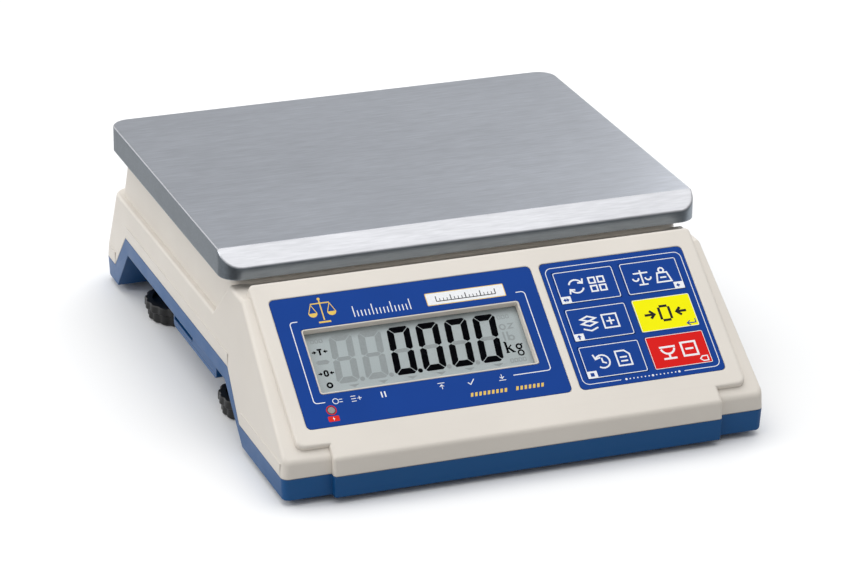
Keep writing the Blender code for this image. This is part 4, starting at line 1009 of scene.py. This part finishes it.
FEET = ("front_left", "front_right", "rear_left", "rear_right")
THREAD_PITCH, THREAD_RADIUS, THREAD_HEIGHT = 1.25 * MM, 4.0 * MM, 0.26 * MM
KNOB_HEIGHT, STUD_END = 11.0 * MM, 1.0 * MM
THREAD_STEPS = 20  # points in one turn


def stud_threads():
    """A rolled thread round each levelling stud."""
    for name in FEET:
        low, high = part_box("foot_knob_" + name)
        x, y = (low.x + high.x) / 2, (low.y + high.y) / 2
        start, end = low.z + KNOB_HEIGHT, high.z - STUD_END
        curve = bpy.data.curves.new("stud_thread_" + name, "CURVE")
        curve.dimensions = "3D"
        curve.bevel_depth = THREAD_HEIGHT
        curve.bevel_resolution = 1
        curve.use_fill_caps = True
        spline = curve.splines.new("POLY")
        spline.points.add(int((end - start) / THREAD_PITCH * THREAD_STEPS))
        for i, point in enumerate(spline.points):
            turn = 2 * math.pi * i / THREAD_STEPS
            height = start + THREAD_PITCH * i / THREAD_STEPS
            side, ahead = THREAD_RADIUS * math.cos(turn), THREAD_RADIUS * math.sin(turn)
            point.co = (x + side, y + ahead, height, 1)
        thread = bpy.data.objects.new("stud_thread_" + name, curve)
        bpy.context.scene.collection.objects.link(thread)
        curve.materials.append(MATERIALS["steel"])
        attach(thread, "knob_" + name)


def lathe(name, profile, place, material, body, steps=32):
    """A turned piece on an upright axis, from (radius, height) points given top to bottom."""
    bm = bmesh.new()
    rings = []
    for radius, height in profile:
        if radius == 0:
            rings.append([bm.verts.new((0, 0, height))])
            continue
        ring = []
        for step in range(steps):
            angle = 2 * math.pi * step / steps
            ring.append(bm.verts.new((radius * math.cos(angle), radius * math.sin(angle), height)))
        rings.append(ring)
    for upper, lower in zip(rings, rings[1:]):
        for i in range(steps):
            top = [upper[i % len(upper)], upper[(i - 1) % len(upper)]]
            bottom = [lower[(i - 1) % len(lower)], lower[i % len(lower)]]
            bm.faces.new(dict.fromkeys(top + bottom))
    bmesh.ops.recalc_face_normals(bm, faces=bm.faces)
    mesh = bpy.data.meshes.new(name)
    bm.to_mesh(mesh)
    bm.free()
    mesh.shade_smooth()
    piece = bpy.data.objects.new(name, mesh)
    piece.location = place
    bpy.context.scene.collection.objects.link(piece)
    mesh.materials.append(material)
    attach(piece, body)


def level_marks():
    """The bubble and its target ring in the spirit level."""
    low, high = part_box("level_vial")
    centre = ((low.x + high.x) / 2, (low.y + high.y) / 2, high.z)
    bubble = [(0, 0.12), (1.2, 0.10), (1.9, 0.03), (2.1, -0.06), (0, -0.12)]
    profile = [(r * MM, (z + 0.05) * MM) for r, z in bubble]
    lathe("level_bubble", profile, centre, INK_BUBBLE, "body")
    ring = [(2.9, 0.02), (3.2, 0.02), (3.2, -0.09), (2.9, -0.09), (2.9, 0.02)]
    profile = [(r * MM, (z + 0.02) * MM) for r, z in ring]
    lathe("level_target_ring", profile, centre, INK_BLACK, "body")


# ---------------------------------------------------------------- stage, light and camera


FLOOR_RADIUS, FLOOR_DROP = 9.0, 0.02 * MM
FLOOR_SEEN, FLOOR_BOUNCE = 0.97, 0.52  # how pale the floor is to the camera, and as a reflector
# Dark cards that the object mirrors: an axis, from where to where they fade, and how dark to how pale.
FRONT_CARD = ("Y", -0.24, -0.10, 0.15, 0.80)
LEFT_CARD = ("X", -0.225, -0.195, 0.40, 1.0)


def stage():
    """A plain pale floor. It throws less light back than it shows, as if dark cards stood round it."""
    bm = bmesh.new()
    bmesh.ops.create_circle(bm, cap_ends=True, segments=96, radius=FLOOR_RADIUS)
    mesh = bpy.data.meshes.new("floor")
    bm.to_mesh(mesh)
    bm.free()
    floor = bpy.data.objects.new("floor", mesh)
    floor.location.z = -FLOOR_DROP
    bpy.context.scene.collection.objects.link(floor)
    mesh.materials.append(floor_material())


def floor_material():
    """Matt paper whose paleness depends on what looks at it."""
    material, tree, shader, place = start_material("floor_look", (0.8, 0.8, 0.8), 0.9)
    shader.inputs["Specular IOR Level"].default_value = 0.1
    rays = add(tree, "ShaderNodeLightPath").outputs
    split = add(tree, "ShaderNodeSeparateXYZ", {0: place})
    cards = [ranged(tree, split.outputs[axis], *fade) for axis, *fade in (FRONT_CARD, LEFT_CARD)]
    bounced = shade_choice(tree, rays["Is Glossy Ray"], FLOOR_BOUNCE, product(tree, *cards))
    seen = shade_choice(tree, rays["Is Camera Ray"], bounced, FLOOR_SEEN)
    tree.links.new(seen, shader.inputs["Base Color"])
    return material


def soft_box(name, place, target, size, power, colour):
    """A rectangular lamp at place that faces target."""
    light = bpy.data.lights.new(name, "AREA")
    light.shape = "RECTANGLE"
    light.size, light.size_y = size
    light.energy = power
    light.color = colour
    holder = bpy.data.objects.new(name, light)
    holder.location = place
    direction = Vector(target) - Vector(place)
    holder.rotation_euler = direction.to_track_quat("-Z", "Y").to_euler()
    bpy.context.scene.collection.objects.link(holder)


def sky_lobe(tree, direction, towards, edge, strength):
    """A soft bright patch of the surround; edge is the cosine at which it fades out."""
    aim = tuple(Vector(towards).normalized())
    match = add(tree, "ShaderNodeVectorMath", {0: direction, 1: aim}, operation="DOT_PRODUCT")
    return ranged(tree, match.outputs["Value"], edge, 1.0, 0.0, strength, True)


SKY_COLOUR, SKY_BASE = (0.985, 0.992, 1.0), 0.29
SKY_LOBES = (
    # towards, cosine at the edge, strength
    ((0.05, 0.0, 1.0), 0.25, 0.58),
    ((-1.0, 0.1, 0.35), 0.1, 0.34),
    ((-0.42, 0.87, 0.22), 0.88, 1.1),
    ((0.85, 0.65, 0.35), 0.55, 0.45),
)
MIDDLE, WHITE = (0, 0, 0.06), (1, 1, 1)
SOFT_BOXES = (
    # name, place, target, size, watts, colour
    ("overhead_box", (0.05, 0.05, 1.7), MIDDLE, (1.9, 1.9), 11, (0.985, 0.990, 0.995)),
    ("left_box", (-1.39, 0.185, 0.825), MIDDLE, (0.36, 0.36), 3.6, WHITE),
    ("rear_box", (0.80, 0.75, 0.50), (0.12, 0.05, 0.11), (0.5, 0.35), 1.0, WHITE),
)


def studio():
    """A soft surround, brightest overhead, with bright patches to the left and behind."""
    world = bpy.data.worlds.new("studio")
    bpy.context.scene.world = world
    world.use_nodes = True
    tree = world.node_tree
    background = tree.nodes["Background"]
    direction = add(tree, "ShaderNodeTexCoord").outputs["Generated"]
    total = SKY_BASE
    for lobe in SKY_LOBES:
        patch = sky_lobe(tree, direction, *lobe)
        total = add(tree, "ShaderNodeMath", {0: total, 1: patch}, operation="ADD").outputs[0]
    tree.links.new(total, background.inputs["Strength"])
    background.inputs["Color"].default_value = (*SKY_COLOUR, 1)
    for box in SOFT_BOXES:
        soft_box(*box)


FOCAL_LENGTH, SENSOR = 158.4, 36.0
CAMERA_PLACE = Vector((-0.7490, -2.0097, 0.9363))
AZIMUTH, ELEVATION, ROLL = math.radians(-20.6), math.radians(22.66), math.radians(0.55)


def camera():
    """A long lens at the front, left of the middle and a little above; it looks along -back."""
    data = bpy.data.cameras.new("camera")
    data.lens, data.sensor_width = FOCAL_LENGTH, SENSOR
    data.clip_start = 0.01
    level = Vector((math.sin(AZIMUTH), -math.cos(AZIMUTH), 0))
    back = level * math.cos(ELEVATION) + Vector((0, 0, math.sin(ELEVATION)))
    right = (-back).cross(Vector((0, 0, 1))).normalized()
    up = back.cross(right)
    turned_right = right * math.cos(ROLL) + up * math.sin(ROLL)
    turned_up = up * math.cos(ROLL) - right * math.sin(ROLL)
    holder = bpy.data.objects.new("camera", data)
    matrix = Matrix((turned_right, turned_up, back)).transposed().to_4x4()
    matrix.translation = CAMERA_PLACE
    holder.matrix_world = matrix
    bpy.context.scene.collection.objects.link(holder)
    bpy.context.scene.camera = holder


dress_nodes()
bracket_lines()
header_ornament()
balance_emblem()
gold_ornament()
capacity_sticker()
lamp_signs()
keypad_frame()
key_art()
display_segments()
stud_threads()
level_marks()
stage()
studio()
camera()
bpy.context.scene.view_settings.view_transform = "Standard"
